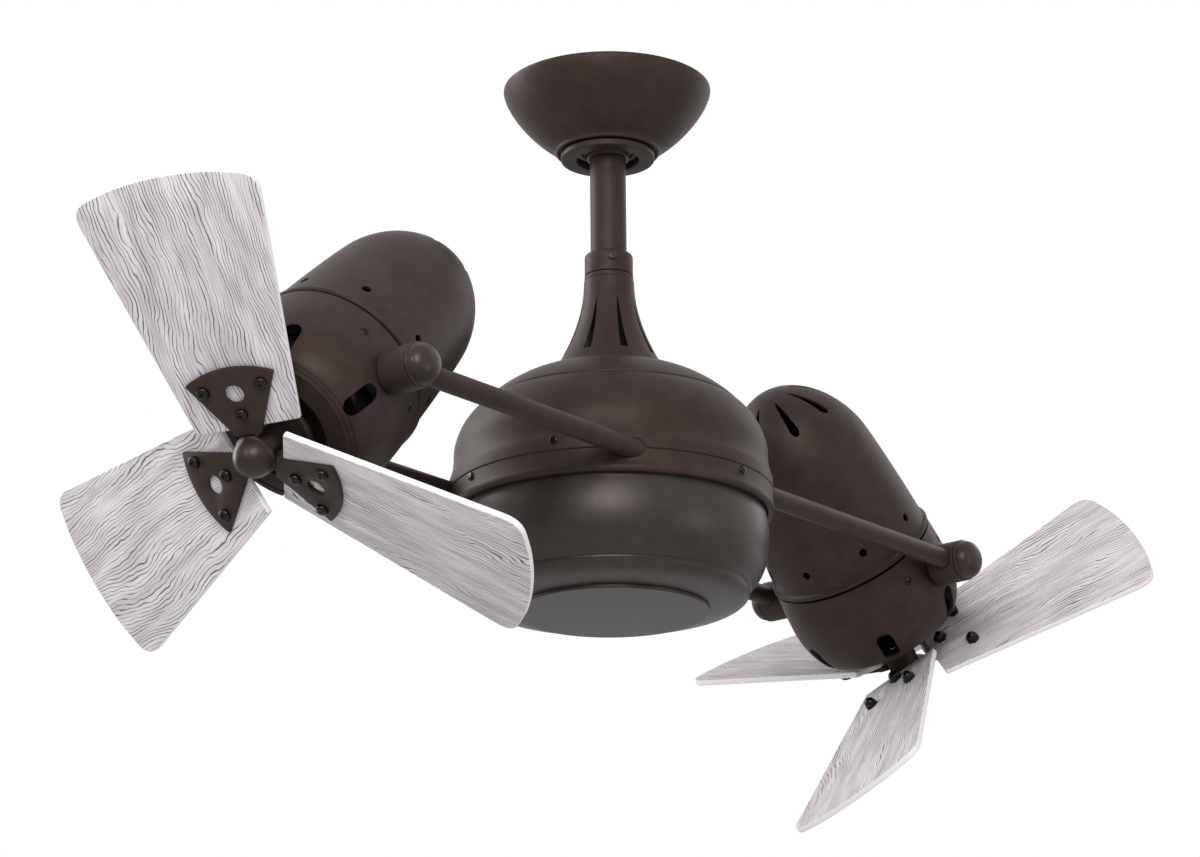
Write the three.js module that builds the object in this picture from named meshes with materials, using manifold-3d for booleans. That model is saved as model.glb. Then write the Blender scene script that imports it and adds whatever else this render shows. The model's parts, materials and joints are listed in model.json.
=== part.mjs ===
// Twin head ceiling fan: two tilting fan heads on a pair of rods that turn about one downrod.
// Millimetres, +Z up. Origin: centre of the ceiling face of the hanger bracket.
// The two support rods run along X, the heads tilt about axes parallel to Y.

import * as THREE from 'three';
import { mergeVertices } from 'three/addons/utils/BufferGeometryUtils.js';
import Module from 'manifold-3d';

// ---------------------------------------------------------------- driving dimensions

const SEAT_GAP = 0.3;            // between pieces that touch or are seated
const RUNNING_GAP = 0.6;         // between the fixed collar and the turning neck
const PASSING_GAP = 0.9;         // where a rod passes through a casing wall

const BRACKET_LENGTH = 118;      // hanger bracket, ceiling plate
const BRACKET_WIDTH = 40;
const BRACKET_STEEL = 2.6;
const BRACKET_SCREW_SPACING = 89;
const BRACKET_LEG_WIDTH = 24;
const BALL_WALL = 14.3;          // round the downrod
const BALL_DEPTH = 30;           // centre of the ball below the ceiling
const BALL_TOP = 13;             // flat top above the centre of the ball
const BALL_SIDE_GAP = 2.9;       // between the ball and the bracket's legs
const SEAT_REACH = 2 / 3;        // underside of the seat below the ball's centre, in ball radii
const PIN_RADIUS = 3;
const PIN_HEIGHT = 4;            // above the centre of the ball
const PIN_LENGTH = 42;

const CANOPY_RADIUS = 73.7;
const CANOPY_RIM_GAP = 0.8;      // below the ceiling
const CANOPY_LEDGE = 3.8;        // flat underside left round the trim ring
const CANOPY_WALL = 1.5;
const TRIM_WIDTH = 11.1;         // from its hole to its edge, with the screws in the middle
const TRIM_LAP = 2.4;            // over the canopy's hole
const TRIM_HEIGHT = 4.7;
const TRIM_WALL = 1.1;
const CANOPY_SCREW_RADIUS = 2;
const CANOPY_SCREW_HEAD = 3.5;

const DOWNROD_RADIUS = 12.7;
const DOWNROD_WALL = 2;
const COLLAR_WALL = 4;
const COLLAR_HEIGHT = 14.9;
const COLLAR_FLOOR = 3.2;
const SET_SCREW_RADIUS = 3.4;
const SET_SCREW_ANGLE = -131;    // degrees from +X

const SPINDLE_RADIUS = 8;
const SPINDLE_BORE = 4;
const BEARING_RADIUS = 17.2;
const BEARING_HEIGHT = 10;
const BEARING_TUBE_WALL = 3;
const UPPER_BEARING_RISE = 10;   // top of the upper bearing above the neck's base
const NUT_RADIUS = 14;           // to its corners
const NUT_HEIGHT = 9;
const DRUM_RADIUS = 14;
const DRUM_HEIGHT = 22;

const ROD_DEPTH = 301.7;         // axis of the support rods below the ceiling
const NECK_TOP_RISE = 158.4;     // rises and drops are from the axis of the support rods
const NECK_BASE_RISE = 88.7;
const NECK_FLARE = 19.2;         // of the neck's base round the bearing tube
const SHEET_WALL = 1.5;          // pressed casings of the centre body
const NECK_SLOTS = 8;
const NECK_SLOT_ANGLE = 11.5;
const NECK_SLOT_INSET_TOP = 18.7;
const NECK_SLOT_INSET_BASE = 10;
const NECK_SLOT_WIDTH = 5.2;     // at its lower end

const BAND_MARGIN = 32.2;        // of the band outside the support rods
const CREASE_INSET = 22;         // insets are from the band's radius
const CREASE_RISE = 61.4;
const DOME_INSET = 3;
const BAND_DROP = 16.5;
const BAND_LIP = 3.7;
const BOWL_INSET = 2.7;
const BOWL_RIDGE_INSET = 16.5;
const BOWL_RIDGE_DROP = 68.7;
const BOWL_FLOOR_DROP = 82.3;
const DISC_RADIUS = 67.1;
const DISC_THICKNESS = 2.2;

const ROD_RADIUS = 7.15;
const ROD_WALL = 1.6;
const ROD_SHIFT = 14.1;          // of the rods outside the bosses' inner faces
const BLADE_PASSAGE = 8.5;       // between the bowl's ridge and the blades of a head pointing down
const CHASSIS_INSET = 8;
const CHASSIS_PLATE = 4;
const SADDLE_LENGTH = 88;
const SADDLE_WALL = 3.35;        // on each side of a rod

const BOSS_RADIUS = 15;
const BOSS_GAP = 1.5;            // between a boss and the widest part of a head
const BOSS_LENGTH = 22.9;
const CAP_HEIGHT = 12;
const TRUNNION_RADIUS = 6;
const TRUNNION_SHOULDER = 9;

const HEAD_TILT = 45;            // heads at rest, degrees below the horizon
const HEAD_WALL = 1.8;
const HEAD_RADIUS = 64.2;        // at its widest
const HEAD_TAIL = 167;           // pole of the rear shell behind the tilt axis
const HEAD_WAIST_INSET = 10.6;   // insets are from the widest radius
const HEAD_SEAM_INSET = 1.6;
const HEAD_SEAM = 23.1;          // seam behind the tilt axis
const HEAD_FRONT = 47.5;         // front opening before the tilt axis
const HEAD_FACE_INSET = 13.6;
const HEAD_OPENING_GAP = 7;      // round the blade flange
const TAIL_VENTS = 8;
const TAIL_VENT_INNER = 17;
const TAIL_VENT_OUTER = 41;
const TAIL_VENT_RADIUS = 3;
const FRONT_VENTS = 6;
const FRONT_VENT_LENGTH = 24;
const FRONT_VENT_WIDTH = 12;

const STATOR_GAP = 2.2;          // between the motor's can and the narrowest part of the shell
const STATOR_LENGTH = 60;
const ROTOR_RADIUS = 25;
const AIR_GAP = 1;               // between rotor and stator
const ROTOR_LENGTH = 54;
const SHAFT_RADIUS = 5;
const HUB_FLANGE_RADIUS = 27;
const HUB_FLANGE = 4.5;
const HUB_RADIUS = 9;

const BLADE_COUNT = 3;
const BLADE_PLANE = 72.2;        // middle of the blades before the tilt axis
const BLADE_PITCH = 17;
const BLADE_THICKNESS = 4.6;
const BLADE_ROOT = 18.9;         // from the rotor axis
const BLADE_TIP = 196;
const BLADE_ROOT_WIDTH = 69.6;
const BLADE_TIP_WIDTH = 125;
const BLADE_CORNER = 13;
const ROTOR_PHASES = [17.3, 77.7];
const BRACKET_PLATE = 3;
const FAN_RADIUS = 56;
const FAN_ROOT_WIDTH = 18;
const FAN_ROOT = 9.5;
const FAN_OUTER_WIDTH = 58;
const FAN_HOLE_PLACE = 38.5;     // from the rotor axis
const FAN_HOLE_RADIUS = 6.25;
const FOOT_LENGTH = 15;
const SPINNER_RADIUS = 14.3;
const SPINNER_HEIGHT = 17;

// Facets round each kind of revolved piece. Pieces that fit one in another share a number.
const LARGE = 28;
const SHELL = 24;
const MEDIUM = 18;
const SMALL = 16;
const FINE = 12;
const COARSE = 8;

// ---------------------------------------------------------------- materials

const bronzePaint = new THREE.MeshStandardMaterial({ color: '#40352f', roughness: 0.5, metalness: 0.6 });
const bronzeGloss = new THREE.MeshStandardMaterial({ color: '#3a302b', roughness: 0.3, metalness: 0.7 });
const gunmetal = new THREE.MeshStandardMaterial({ color: '#3f3e3b', roughness: 0.55, metalness: 0.6 });
const zincSteel = new THREE.MeshStandardMaterial({ color: '#a9abac', roughness: 0.4, metalness: 0.9 });
const castIron = new THREE.MeshStandardMaterial({ color: '#4b4c4e', roughness: 0.7, metalness: 0.8 });
const nylon = new THREE.MeshStandardMaterial({ color: '#26262a', roughness: 0.6, metalness: 0 });
const brass = new THREE.MeshStandardMaterial({ color: '#b08d45', roughness: 0.35, metalness: 1 });
const barnwood = new THREE.MeshStandardMaterial({ color: '#cdc7ca', roughness: 0.8, metalness: 0 });

// ---------------------------------------------------------------- solids

const wasm = await Module();
wasm.setup();

function toSolid(geometry) {
  const bare = geometry.clone();
  bare.deleteAttribute('normal');
  bare.deleteAttribute('uv');
  const merged = mergeVertices(bare, 1e-4);
  const corners = merged.index.array;
  const points = merged.attributes.position;
  const kept = [];
  let volume = 0;
  const a = new THREE.Vector3();
  const b = new THREE.Vector3();
  const c = new THREE.Vector3();
  for (let i = 0; i < corners.length; i += 3) {
    const [p, q, r] = corners.slice(i, i + 3);
    if (p === q || q === r || r === p) continue;
    kept.push([p, q, r]);
    a.fromBufferAttribute(points, p);
    b.fromBufferAttribute(points, q);
    c.fromBufferAttribute(points, r);
    volume += a.dot(b.cross(c));
  }
  const facing = volume < 0 ? kept.map(([p, q, r]) => [p, r, q]) : kept;
  return new wasm.Manifold(new wasm.Mesh({
    numProp: 3,
    vertProperties: new Float32Array(points.array),
    triVerts: new Uint32Array(facing.flat()),
  }));
}

function toGeometry(solid) {
  const mesh = solid.getMesh();
  const geometry = new THREE.BufferGeometry();
  geometry.setAttribute('position', new THREE.BufferAttribute(mesh.vertProperties, 3));
  geometry.setIndex(new THREE.BufferAttribute(mesh.triVerts, 1));
  geometry.computeVertexNormals();
  return geometry;
}

const join = (first, ...others) => others.reduce((sum, next) => sum.add(next), first);
const cut = (first, ...tools) => tools.reduce((rest, tool) => rest.subtract(tool), first);
const radians = THREE.MathUtils.degToRad;

// A profile of [radius, height] points, closed or ending on the axis, revolved about Z.
function revolve(profile, facets) {
  const points = profile.map(([radius, height]) => new THREE.Vector2(radius, height));
  const [first, last] = [points[0], points[points.length - 1]];
  if (first.x > 0 || last.x > 0) points.push(first.clone());
  return toSolid(new THREE.LatheGeometry(points, facets).rotateX(Math.PI / 2));
}

// A tube or disc between two heights, solid when the bore is left out.
function ring(outer, low, high, facets, bore = 0) {
  return revolve([[bore, low], [outer, low], [outer, high], [bore, high]], facets);
}

// The corner radius of a faceted bore whose flats clear a shaft by the given gap at any angle.
const boreFor = (shaft, facets, gap = SEAT_GAP) => (shaft + gap) / Math.cos(Math.PI / facets);

// A thin casing: the solid within an outline of [radius, height] points, less a core a wall smaller.
// The core has about every second point and fewer facets, because only its openings show.
function casing(outline, wall, facets, coreFacets = SMALL) {
  const last = outline.length - 1;
  const direction = Math.sign(outline[last][1] - outline[0][1]);
  const inner = outline.map((point, i) => {
    const before = outline[Math.max(i - 1, 0)];
    const after = outline[Math.min(i + 1, last)];
    const incoming = new THREE.Vector2(point[0] - before[0], point[1] - before[1]);
    const outgoing = new THREE.Vector2(after[0] - point[0], after[1] - point[1]);
    if (i === 0) incoming.copy(outgoing);
    if (i === last) outgoing.copy(incoming);
    const along = incoming.normalize().add(outgoing.clone().normalize()).normalize();
    const mitre = Math.max(along.dot(outgoing.normalize()), 0.5);
    const step = (direction * wall) / mitre;
    return [Math.max(point[0] - along.y * step, 0), point[1] + along.x * step];
  });
  const core = inner.filter((point, i) => i % 2 === 0 || i >= last - 1);
  const startBeyond = outline[0][1] - direction;
  const endBeyond = outline[last][1] + direction;
  const closed = outline[0][0] === 0;
  const coreStart = closed ? [] : [[0, startBeyond], [inner[0][0], startBeyond]];
  return cut(
    revolve([...(closed ? [] : [[0, outline[0][1]]]), ...outline, [0, outline[last][1]]], facets),
    revolve([...coreStart, ...core, [inner[last][0], endBeyond], [0, endBeyond]], coreFacets),
  );
}

// Points along a Bezier curve through [radius, height] control points, without its first point.
function bezier(controls, steps) {
  const points = controls.map(([radius, height]) => new THREE.Vector2(radius, height));
  const curve = points.length === 3
    ? new THREE.QuadraticBezierCurve(...points)
    : new THREE.CubicBezierCurve(...points);
  return curve.getPoints(steps).slice(1).map((point) => [point.x, point.y]);
}

// A flat shape in XY extruded along Z between two heights.
function plate(shape, low, high, curveSegments = 6) {
  const geometry = new THREE.ExtrudeGeometry(shape, {
    depth: high - low,
    bevelEnabled: false,
    curveSegments,
  });
  return toSolid(geometry.translate(0, 0, low));
}

function block(sizeX, sizeY, sizeZ, x = 0, y = 0, z = 0) {
  return toSolid(new THREE.BoxGeometry(sizeX, sizeY, sizeZ).translate(x, y, z));
}

// A round bar along Y from one place to another.
function barAlongY(radius, from, to, facets, x = 0, z = 0) {
  const geometry = new THREE.CylinderGeometry(radius, radius, Math.abs(to - from), facets);
  return toSolid(geometry.translate(x, (from + to) / 2, z));
}

function barAlongX(radius, from, to, facets, y = 0, z = 0) {
  const geometry = new THREE.CylinderGeometry(radius, radius, Math.abs(to - from), facets);
  return toSolid(geometry.rotateZ(Math.PI / 2).translate((from + to) / 2, y, z));
}

// A slot with one narrow and one round end: from the narrow end at y = start to y = end.
function teardrop(start, end, radius, tipWidth = 1) {
  const shape = new THREE.Shape();
  shape.moveTo(tipWidth / 2, start);
  shape.lineTo(radius, end - radius);
  shape.absarc(0, end - radius, radius, 0, Math.PI, false);
  shape.lineTo(-tipWidth / 2, start);
  shape.closePath();
  return shape;
}

// A slot that widens from one millimetre at y = start to its full width at y = end.
function wedge(start, end, width) {
  const shape = new THREE.Shape();
  shape.moveTo(-0.5, start);
  shape.lineTo(0.5, start);
  shape.lineTo(width / 2, end);
  shape.lineTo(-width / 2, end);
  shape.closePath();
  return shape;
}

// A slot with two round ends, its length along X.
function obround(length, width) {
  const radius = width / 2;
  const centre = length / 2 - radius;
  const shape = new THREE.Shape();
  shape.absarc(centre, 0, radius, -Math.PI / 2, Math.PI / 2, false);
  shape.absarc(-centre, 0, radius, Math.PI / 2, Math.PI * 1.5, false);
  shape.closePath();
  return shape;
}

// ---------------------------------------------------------------- assembly helpers

const fan = new THREE.Group();

function add(parent, name, solid, material) {
  const mesh = new THREE.Mesh(toGeometry(solid), material);
  mesh.name = name;
  parent.add(mesh);
  return mesh;
}

// ---------------------------------------------------------------- ceiling mount

const ballRadius = DOWNROD_RADIUS + BALL_WALL;
const ballCentre = -BALL_DEPTH;
const seatUnder = ballCentre - ballRadius * SEAT_REACH;
const seatTop = seatUnder + BRACKET_STEEL;
const legInside = ballRadius + BALL_SIDE_GAP;
const canopyFlange = seatUnder - SEAT_GAP;
const canopyUnder = canopyFlange - CANOPY_WALL;
const canopyScrewPlace = legInside - CANOPY_SCREW_RADIUS - SEAT_GAP;
const trimRadius = canopyScrewPlace + TRIM_WIDTH / 2;
const trimHoleRadius = canopyScrewPlace - TRIM_WIDTH / 2;
const canopyHoleRadius = trimHoleRadius + TRIM_LAP;
const canopyBaseRadius = trimRadius + CANOPY_LEDGE;

const ballRadiusAt = (height) => Math.sqrt(ballRadius ** 2 - (height - ballCentre) ** 2);

function hangerBracket() {
  const ceilingShape = new THREE.Shape();
  const halfLength = BRACKET_LENGTH / 2;
  const halfWidth = BRACKET_WIDTH / 2;
  ceilingShape.moveTo(-halfLength, -halfWidth);
  ceilingShape.lineTo(halfLength, -halfWidth);
  ceilingShape.lineTo(halfLength, halfWidth);
  ceilingShape.lineTo(-halfLength, halfWidth);
  ceilingShape.closePath();
  const ceilingPlate = plate(ceilingShape, -BRACKET_STEEL, 0);
  const screwSlots = [-1, 1].map((side) => plate(obround(12, 5), -BRACKET_STEEL - 1, 1, 2)
    .translate([side * BRACKET_SCREW_SPACING / 2, 0, 0]));

  const seatRadius = canopyScrewPlace + CANOPY_SCREW_HEAD + 1;
  const seat = revolve([
    [ballRadiusAt(seatUnder) + SEAT_GAP + 0.2, seatUnder],
    [seatRadius, seatUnder],
    [seatRadius, seatTop],
    [ballRadiusAt(seatTop) + SEAT_GAP + 0.2, seatTop],
  ], MEDIUM);
  const legHeight = -BRACKET_STEEL / 2 - (seatUnder + seatTop) / 2;
  const legMiddle = (-BRACKET_STEEL / 2 + (seatUnder + seatTop) / 2) / 2;
  const legX = legInside + BRACKET_STEEL / 2;
  const legs = [-1, 1].map((side) => block(
    BRACKET_STEEL, BRACKET_LEG_WIDTH, legHeight, side * legX, 0, legMiddle));

  // The seat is open towards -Y so that the ball and its rod can be lifted in.
  const rodWay = 2 * DOWNROD_RADIUS + 2;
  const mouth = block(rodWay, seatRadius + 2, 3 * BRACKET_STEEL,
    0, -(seatRadius + 2) / 2, (seatUnder + seatTop) / 2);
  const screwHoles = [-1, 1].map((side) => ring(
    CANOPY_SCREW_RADIUS + SEAT_GAP, seatUnder - 1, seatTop + 1, 6)
    .translate([side * canopyScrewPlace, 0, 0]));
  return cut(join(ceilingPlate, seat, ...legs), ...screwSlots, mouth, ...screwHoles);
}

function canopy() {
  const rim = -CANOPY_RIM_GAP;
  const shoulder = [canopyBaseRadius, canopyUnder + 1.8];
  const outline = [
    [CANOPY_RADIUS, rim],
    [CANOPY_RADIUS - 0.3, -3],
    ...bezier([
      [CANOPY_RADIUS - 0.3, -3],
      [CANOPY_RADIUS * 0.88, shoulder[1] * 0.47],
      shoulder,
    ], 5),
    [canopyBaseRadius - 1.4, canopyUnder],
    [canopyHoleRadius, canopyUnder],
  ];
  const bowl = casing(outline, CANOPY_WALL, SHELL);
  const screwHoles = [-1, 1].map((side) => ring(
    CANOPY_SCREW_RADIUS + SEAT_GAP, canopyUnder - 1, canopyFlange + 1, 6)
    .translate([side * canopyScrewPlace, 0, 0]));
  return cut(bowl, ...screwHoles);
}

function trimRing() {
  const top = canopyUnder - SEAT_GAP;
  const bottom = top - TRIM_HEIGHT;
  const floor = bottom + TRIM_WALL;
  return revolve([
    [trimHoleRadius, top],
    [trimHoleRadius, bottom],
    [trimRadius, bottom],
    [trimRadius, top],
    [trimRadius - TRIM_WALL, top],
    [trimRadius - TRIM_WALL, floor],
    [trimHoleRadius + TRIM_WALL, floor],
    [trimHoleRadius + TRIM_WALL, top],
  ], MEDIUM);
}

function canopyScrew() {
  const headTop = canopyUnder - SEAT_GAP;
  return revolve([
    [0, headTop - 2.2],
    [CANOPY_SCREW_HEAD - 1, headTop - 2.2],
    [CANOPY_SCREW_HEAD, headTop - 1],
    [CANOPY_SCREW_HEAD, headTop],
    [CANOPY_SCREW_RADIUS, headTop],
    [CANOPY_SCREW_RADIUS, seatTop + 2.5],
    [0, seatTop + 2.5],
  ], 6);
}

add(fan, 'hanger_bracket', hangerBracket(), zincSteel);
add(fan, 'canopy', canopy(), bronzePaint);
add(fan, 'trim_ring', trimRing(), bronzePaint);
for (const [i, side] of [-1, 1].entries()) {
  add(fan, `canopy_screw_${i + 1}`, canopyScrew(), zincSteel).position.x = side * canopyScrewPlace;
}

// ---------------------------------------------------------------- hanging rod

const rodHeight = -ROD_DEPTH;
const neckTop = rodHeight + NECK_TOP_RISE;
const neckBase = rodHeight + NECK_BASE_RISE;
const pinHeight = ballCentre + PIN_HEIGHT;
const collarRadius = DOWNROD_RADIUS + SEAT_GAP + COLLAR_WALL;
const collarBottom = neckTop + RUNNING_GAP;
const collarTop = collarBottom + COLLAR_HEIGHT;
const collarFloor = collarBottom + COLLAR_FLOOR;
const spindleHeadTop = collarFloor + SEAT_GAP + 2.7;
const downrodBottom = spindleHeadTop + SEAT_GAP;
const upperBearingTop = neckBase + UPPER_BEARING_RISE;
const chassisPlateTop = rodHeight - ROD_RADIUS - SEAT_GAP;
const chassisPlateUnder = chassisPlateTop - CHASSIS_PLATE;
const lowerBearingTop = chassisPlateTop + BEARING_HEIGHT + 3;
const nutTop = lowerBearingTop - BEARING_HEIGHT - SEAT_GAP;
const nutBottom = nutTop - NUT_HEIGHT;
const drumTop = Math.min(nutBottom, chassisPlateUnder) - 2;
const spindleBottom = drumTop - DRUM_HEIGHT - 3;

function hangerBall() {
  const bore = DOWNROD_RADIUS + SEAT_GAP;
  const low = -Math.sqrt(ballRadius ** 2 - (bore + 1.2) ** 2);
  const start = Math.asin(low / ballRadius);
  const end = Math.asin(BALL_TOP / ballRadius);
  const steps = 6;
  const profile = [[bore, ballCentre + BALL_TOP], [bore, ballCentre + low]];
  for (let i = 0; i <= steps; i += 1) {
    const angle = start + ((end - start) * i) / steps;
    profile.push([ballRadius * Math.cos(angle), ballCentre + ballRadius * Math.sin(angle)]);
  }
  const width = 2 * (PIN_RADIUS + SEAT_GAP);
  const bottom = pinHeight - PIN_RADIUS - SEAT_GAP;
  const top = ballCentre + BALL_TOP + 1;
  const pinGroove = block(width, 2 * ballRadius + 2, top - bottom, 0, 0, (top + bottom) / 2);
  return cut(revolve(profile, MEDIUM), pinGroove);
}

function downrod() {
  const top = pinHeight + PIN_RADIUS + 4;
  const tube = ring(DOWNROD_RADIUS, downrodBottom, top, MEDIUM, DOWNROD_RADIUS - DOWNROD_WALL);
  const pinHole = barAlongY(PIN_RADIUS + SEAT_GAP, -2 * DOWNROD_RADIUS, 2 * DOWNROD_RADIUS, 8, 0, pinHeight);
  return cut(tube, pinHole);
}

function rodCollar() {
  const bore = DOWNROD_RADIUS + SEAT_GAP;
  const body = revolve([
    [SPINDLE_RADIUS + SEAT_GAP, collarBottom],
    [collarRadius - 0.6, collarBottom],
    [collarRadius, collarBottom + 0.6],
    [collarRadius, collarTop - 2.6],
    [collarRadius - 0.9, collarTop - 1.2],
    [collarRadius - 2.4, collarTop],
    [bore, collarTop],
    [bore, collarFloor],
    [SPINDLE_RADIUS + SEAT_GAP, collarFloor],
  ], MEDIUM);
  const screwHead = barAlongX(SET_SCREW_RADIUS, bore + 1, collarRadius + 1.2, 8, 0,
    collarTop - COLLAR_HEIGHT * 0.38).rotate([0, 0, SET_SCREW_ANGLE]);
  return join(body, screwHead);
}

function spindle() {
  return revolve([
    [SPINDLE_BORE, spindleHeadTop],
    [SPINDLE_BORE, spindleBottom],
    [SPINDLE_RADIUS, spindleBottom],
    [SPINDLE_RADIUS, spindleHeadTop - 2.7],
    [DOWNROD_RADIUS - SEAT_GAP, spindleHeadTop - 2.7],
    [DOWNROD_RADIUS - SEAT_GAP, spindleHeadTop],
  ], SMALL);
}

function spindleNut() {
  const hexagon = ring(NUT_RADIUS, nutBottom, nutTop, 6);
  return cut(hexagon, ring(SPINDLE_RADIUS + SEAT_GAP, nutBottom - 1, nutTop + 1, SMALL));
}

function contactDrum() {
  const bore = boreFor(SPINDLE_RADIUS, FINE);
  const profile = [[bore, drumTop], [bore, drumTop - DRUM_HEIGHT]];
  const rings = 3;
  const pitch = DRUM_HEIGHT / rings;
  for (let i = rings - 1; i >= 0; i -= 1) {
    const top = drumTop - i * pitch;
    profile.push([DRUM_RADIUS, top - pitch], [DRUM_RADIUS, top - pitch * 0.5]);
    profile.push([DRUM_RADIUS - 1.5, top - pitch * 0.4], [DRUM_RADIUS - 1.5, top]);
  }
  return revolve(profile, FINE);
}

add(fan, 'hanger_ball', hangerBall(), zincSteel);
add(fan, 'ball_pin', barAlongY(PIN_RADIUS, -PIN_LENGTH / 2, PIN_LENGTH / 2, 8, 0, pinHeight), zincSteel);
add(fan, 'downrod', downrod(), bronzePaint);
add(fan, 'rod_collar', rodCollar(), bronzePaint);
add(fan, 'spindle', spindle(), zincSteel);
add(fan, 'spindle_nut', spindleNut(), zincSteel);
add(fan, 'contact_drum', contactDrum(), brass);

// ---------------------------------------------------------------- turning centre body

// The heads set how far apart the rods lie, the rods how wide the body is, and the body and the
// blades how far out the heads hang.
const bossFace = HEAD_RADIUS + BOSS_GAP;
const rodOffset = bossFace + ROD_SHIFT;
const bandRadius = rodOffset + BAND_MARGIN;
const bowlRidgeRadius = bandRadius - BOWL_RIDGE_INSET;
const pivotDistance = bowlRidgeRadius + BLADE_PASSAGE + BLADE_TIP;
const chassisRadius = bandRadius - CHASSIS_INSET;
const bearingSeat = boreFor(BEARING_RADIUS, MEDIUM);
const bearingTubeRadius = bearingSeat + BEARING_TUBE_WALL;
const neckTopRadius = collarRadius + 0.7;
const neckBaseRadius = bearingTubeRadius + NECK_FLARE;
const seamHalf = SEAT_GAP / 2;
const bandBottom = rodHeight - BAND_DROP;

const rodHoles = [-1, 1].map((side) => barAlongX(boreFor(ROD_RADIUS, COARSE, PASSING_GAP),
  -bandRadius - 5, bandRadius + 5, COARSE, side * rodOffset, rodHeight));

function neckCover() {
  const outline = [
    [SPINDLE_RADIUS + 3, neckTop],
    [neckTopRadius - 0.6, neckTop],
    [neckTopRadius, neckTop - 0.6],
    ...bezier([
      [neckTopRadius, neckTop - 0.6],
      [neckTopRadius + 0.2, (neckTop + neckBase) / 2],
      [neckBaseRadius, neckBase],
    ], 5),
  ];
  const bell = casing(outline, SHEET_WALL, MEDIUM, FINE);
  const slots = [];
  for (let i = 0; i < NECK_SLOTS; i += 1) {
    const slot = plate(
      wedge(-neckTop + NECK_SLOT_INSET_TOP, -neckBase - NECK_SLOT_INSET_BASE, NECK_SLOT_WIDTH),
      12, neckBaseRadius + 2);
    slots.push(slot.rotate([-90, 0, 0]).rotate([0, 0, NECK_SLOT_ANGLE - 90 + (360 * i) / NECK_SLOTS]));
  }
  return cut(bell, ...slots);
}

function upperHousing() {
  const top = neckBase - SEAT_GAP;
  const crease = [bandRadius - CREASE_INSET, rodHeight + CREASE_RISE];
  const domeRadius = bandRadius - DOME_INSET;
  const outline = [
    [neckBaseRadius - 5, top],
    [neckBaseRadius + 0.5, top],
    ...bezier([
      [neckBaseRadius + 0.5, top],
      [crease[0] - 33, crease[1] + 24],
      [crease[0] - 14, crease[1] + 14],
      crease,
    ], 4),
    ...bezier([
      crease,
      [domeRadius - 10.5, crease[1] - 6.5],
      [domeRadius - 2, crease[1] - 17.5],
      [domeRadius, crease[1] - 32.5],
    ], 4),
    [domeRadius, crease[1] - 45],
    [bandRadius - 1, rodHeight + 11.5],
    [bandRadius, rodHeight + 9],
    [bandRadius, rodHeight + seamHalf],
  ];
  return cut(casing(outline, SHEET_WALL, LARGE), ...rodHoles);
}

function lowerRing() {
  const outline = [
    [bandRadius, rodHeight - seamHalf],
    [bandRadius + 0.9, bandBottom + 4],
    [bandRadius + 0.7, bandBottom + 1.4],
    [bandRadius - 1, bandBottom],
    [bandRadius - BAND_LIP, bandBottom],
  ];
  return cut(casing(outline, SHEET_WALL, LARGE, LARGE), ...rodHoles);
}

const bowlHoleRadius = DISC_RADIUS - 6;
const bowlFloor = rodHeight - BOWL_FLOOR_DROP;

function bowlCover() {
  const rimRadius = bandRadius - BAND_LIP - 2 * SEAT_GAP;
  const bowlRadius = bandRadius - BOWL_INSET;
  const ridge = rodHeight - BOWL_RIDGE_DROP;
  const outline = [
    [rimRadius, bandBottom + 3.5],
    [rimRadius, bandBottom - 1],
    ...bezier([
      [rimRadius, bandBottom - 1],
      [bowlRadius + 1.2, bandBottom - 18],
      [bowlRadius + 0.4, ridge + 14],
      [bowlRidgeRadius + 1.6, ridge + 1.8],
    ], 5),
    [bowlRidgeRadius - 0.4, ridge - 2.8],
    [bowlRidgeRadius - 3.5, ridge - 7.6],
    [bowlRidgeRadius - 11, ridge - 10.7],
    [DISC_RADIUS + 0.4, bowlFloor],
    [bowlHoleRadius, bowlFloor],
  ];
  return casing(outline, SHEET_WALL, LARGE);
}

function blankingDisc() {
  const top = bowlFloor - SEAT_GAP;
  return revolve([
    [0, top - DISC_THICKNESS - 0.4],
    [DISC_RADIUS - 1.2, top - DISC_THICKNESS],
    [DISC_RADIUS, top - DISC_THICKNESS + 0.9],
    [DISC_RADIUS, top],
    [bowlHoleRadius - 2, top],
    [bowlHoleRadius - 2, bowlFloor + SHEET_WALL],
    [0, bowlFloor + SHEET_WALL],
  ], LARGE);
}

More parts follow.
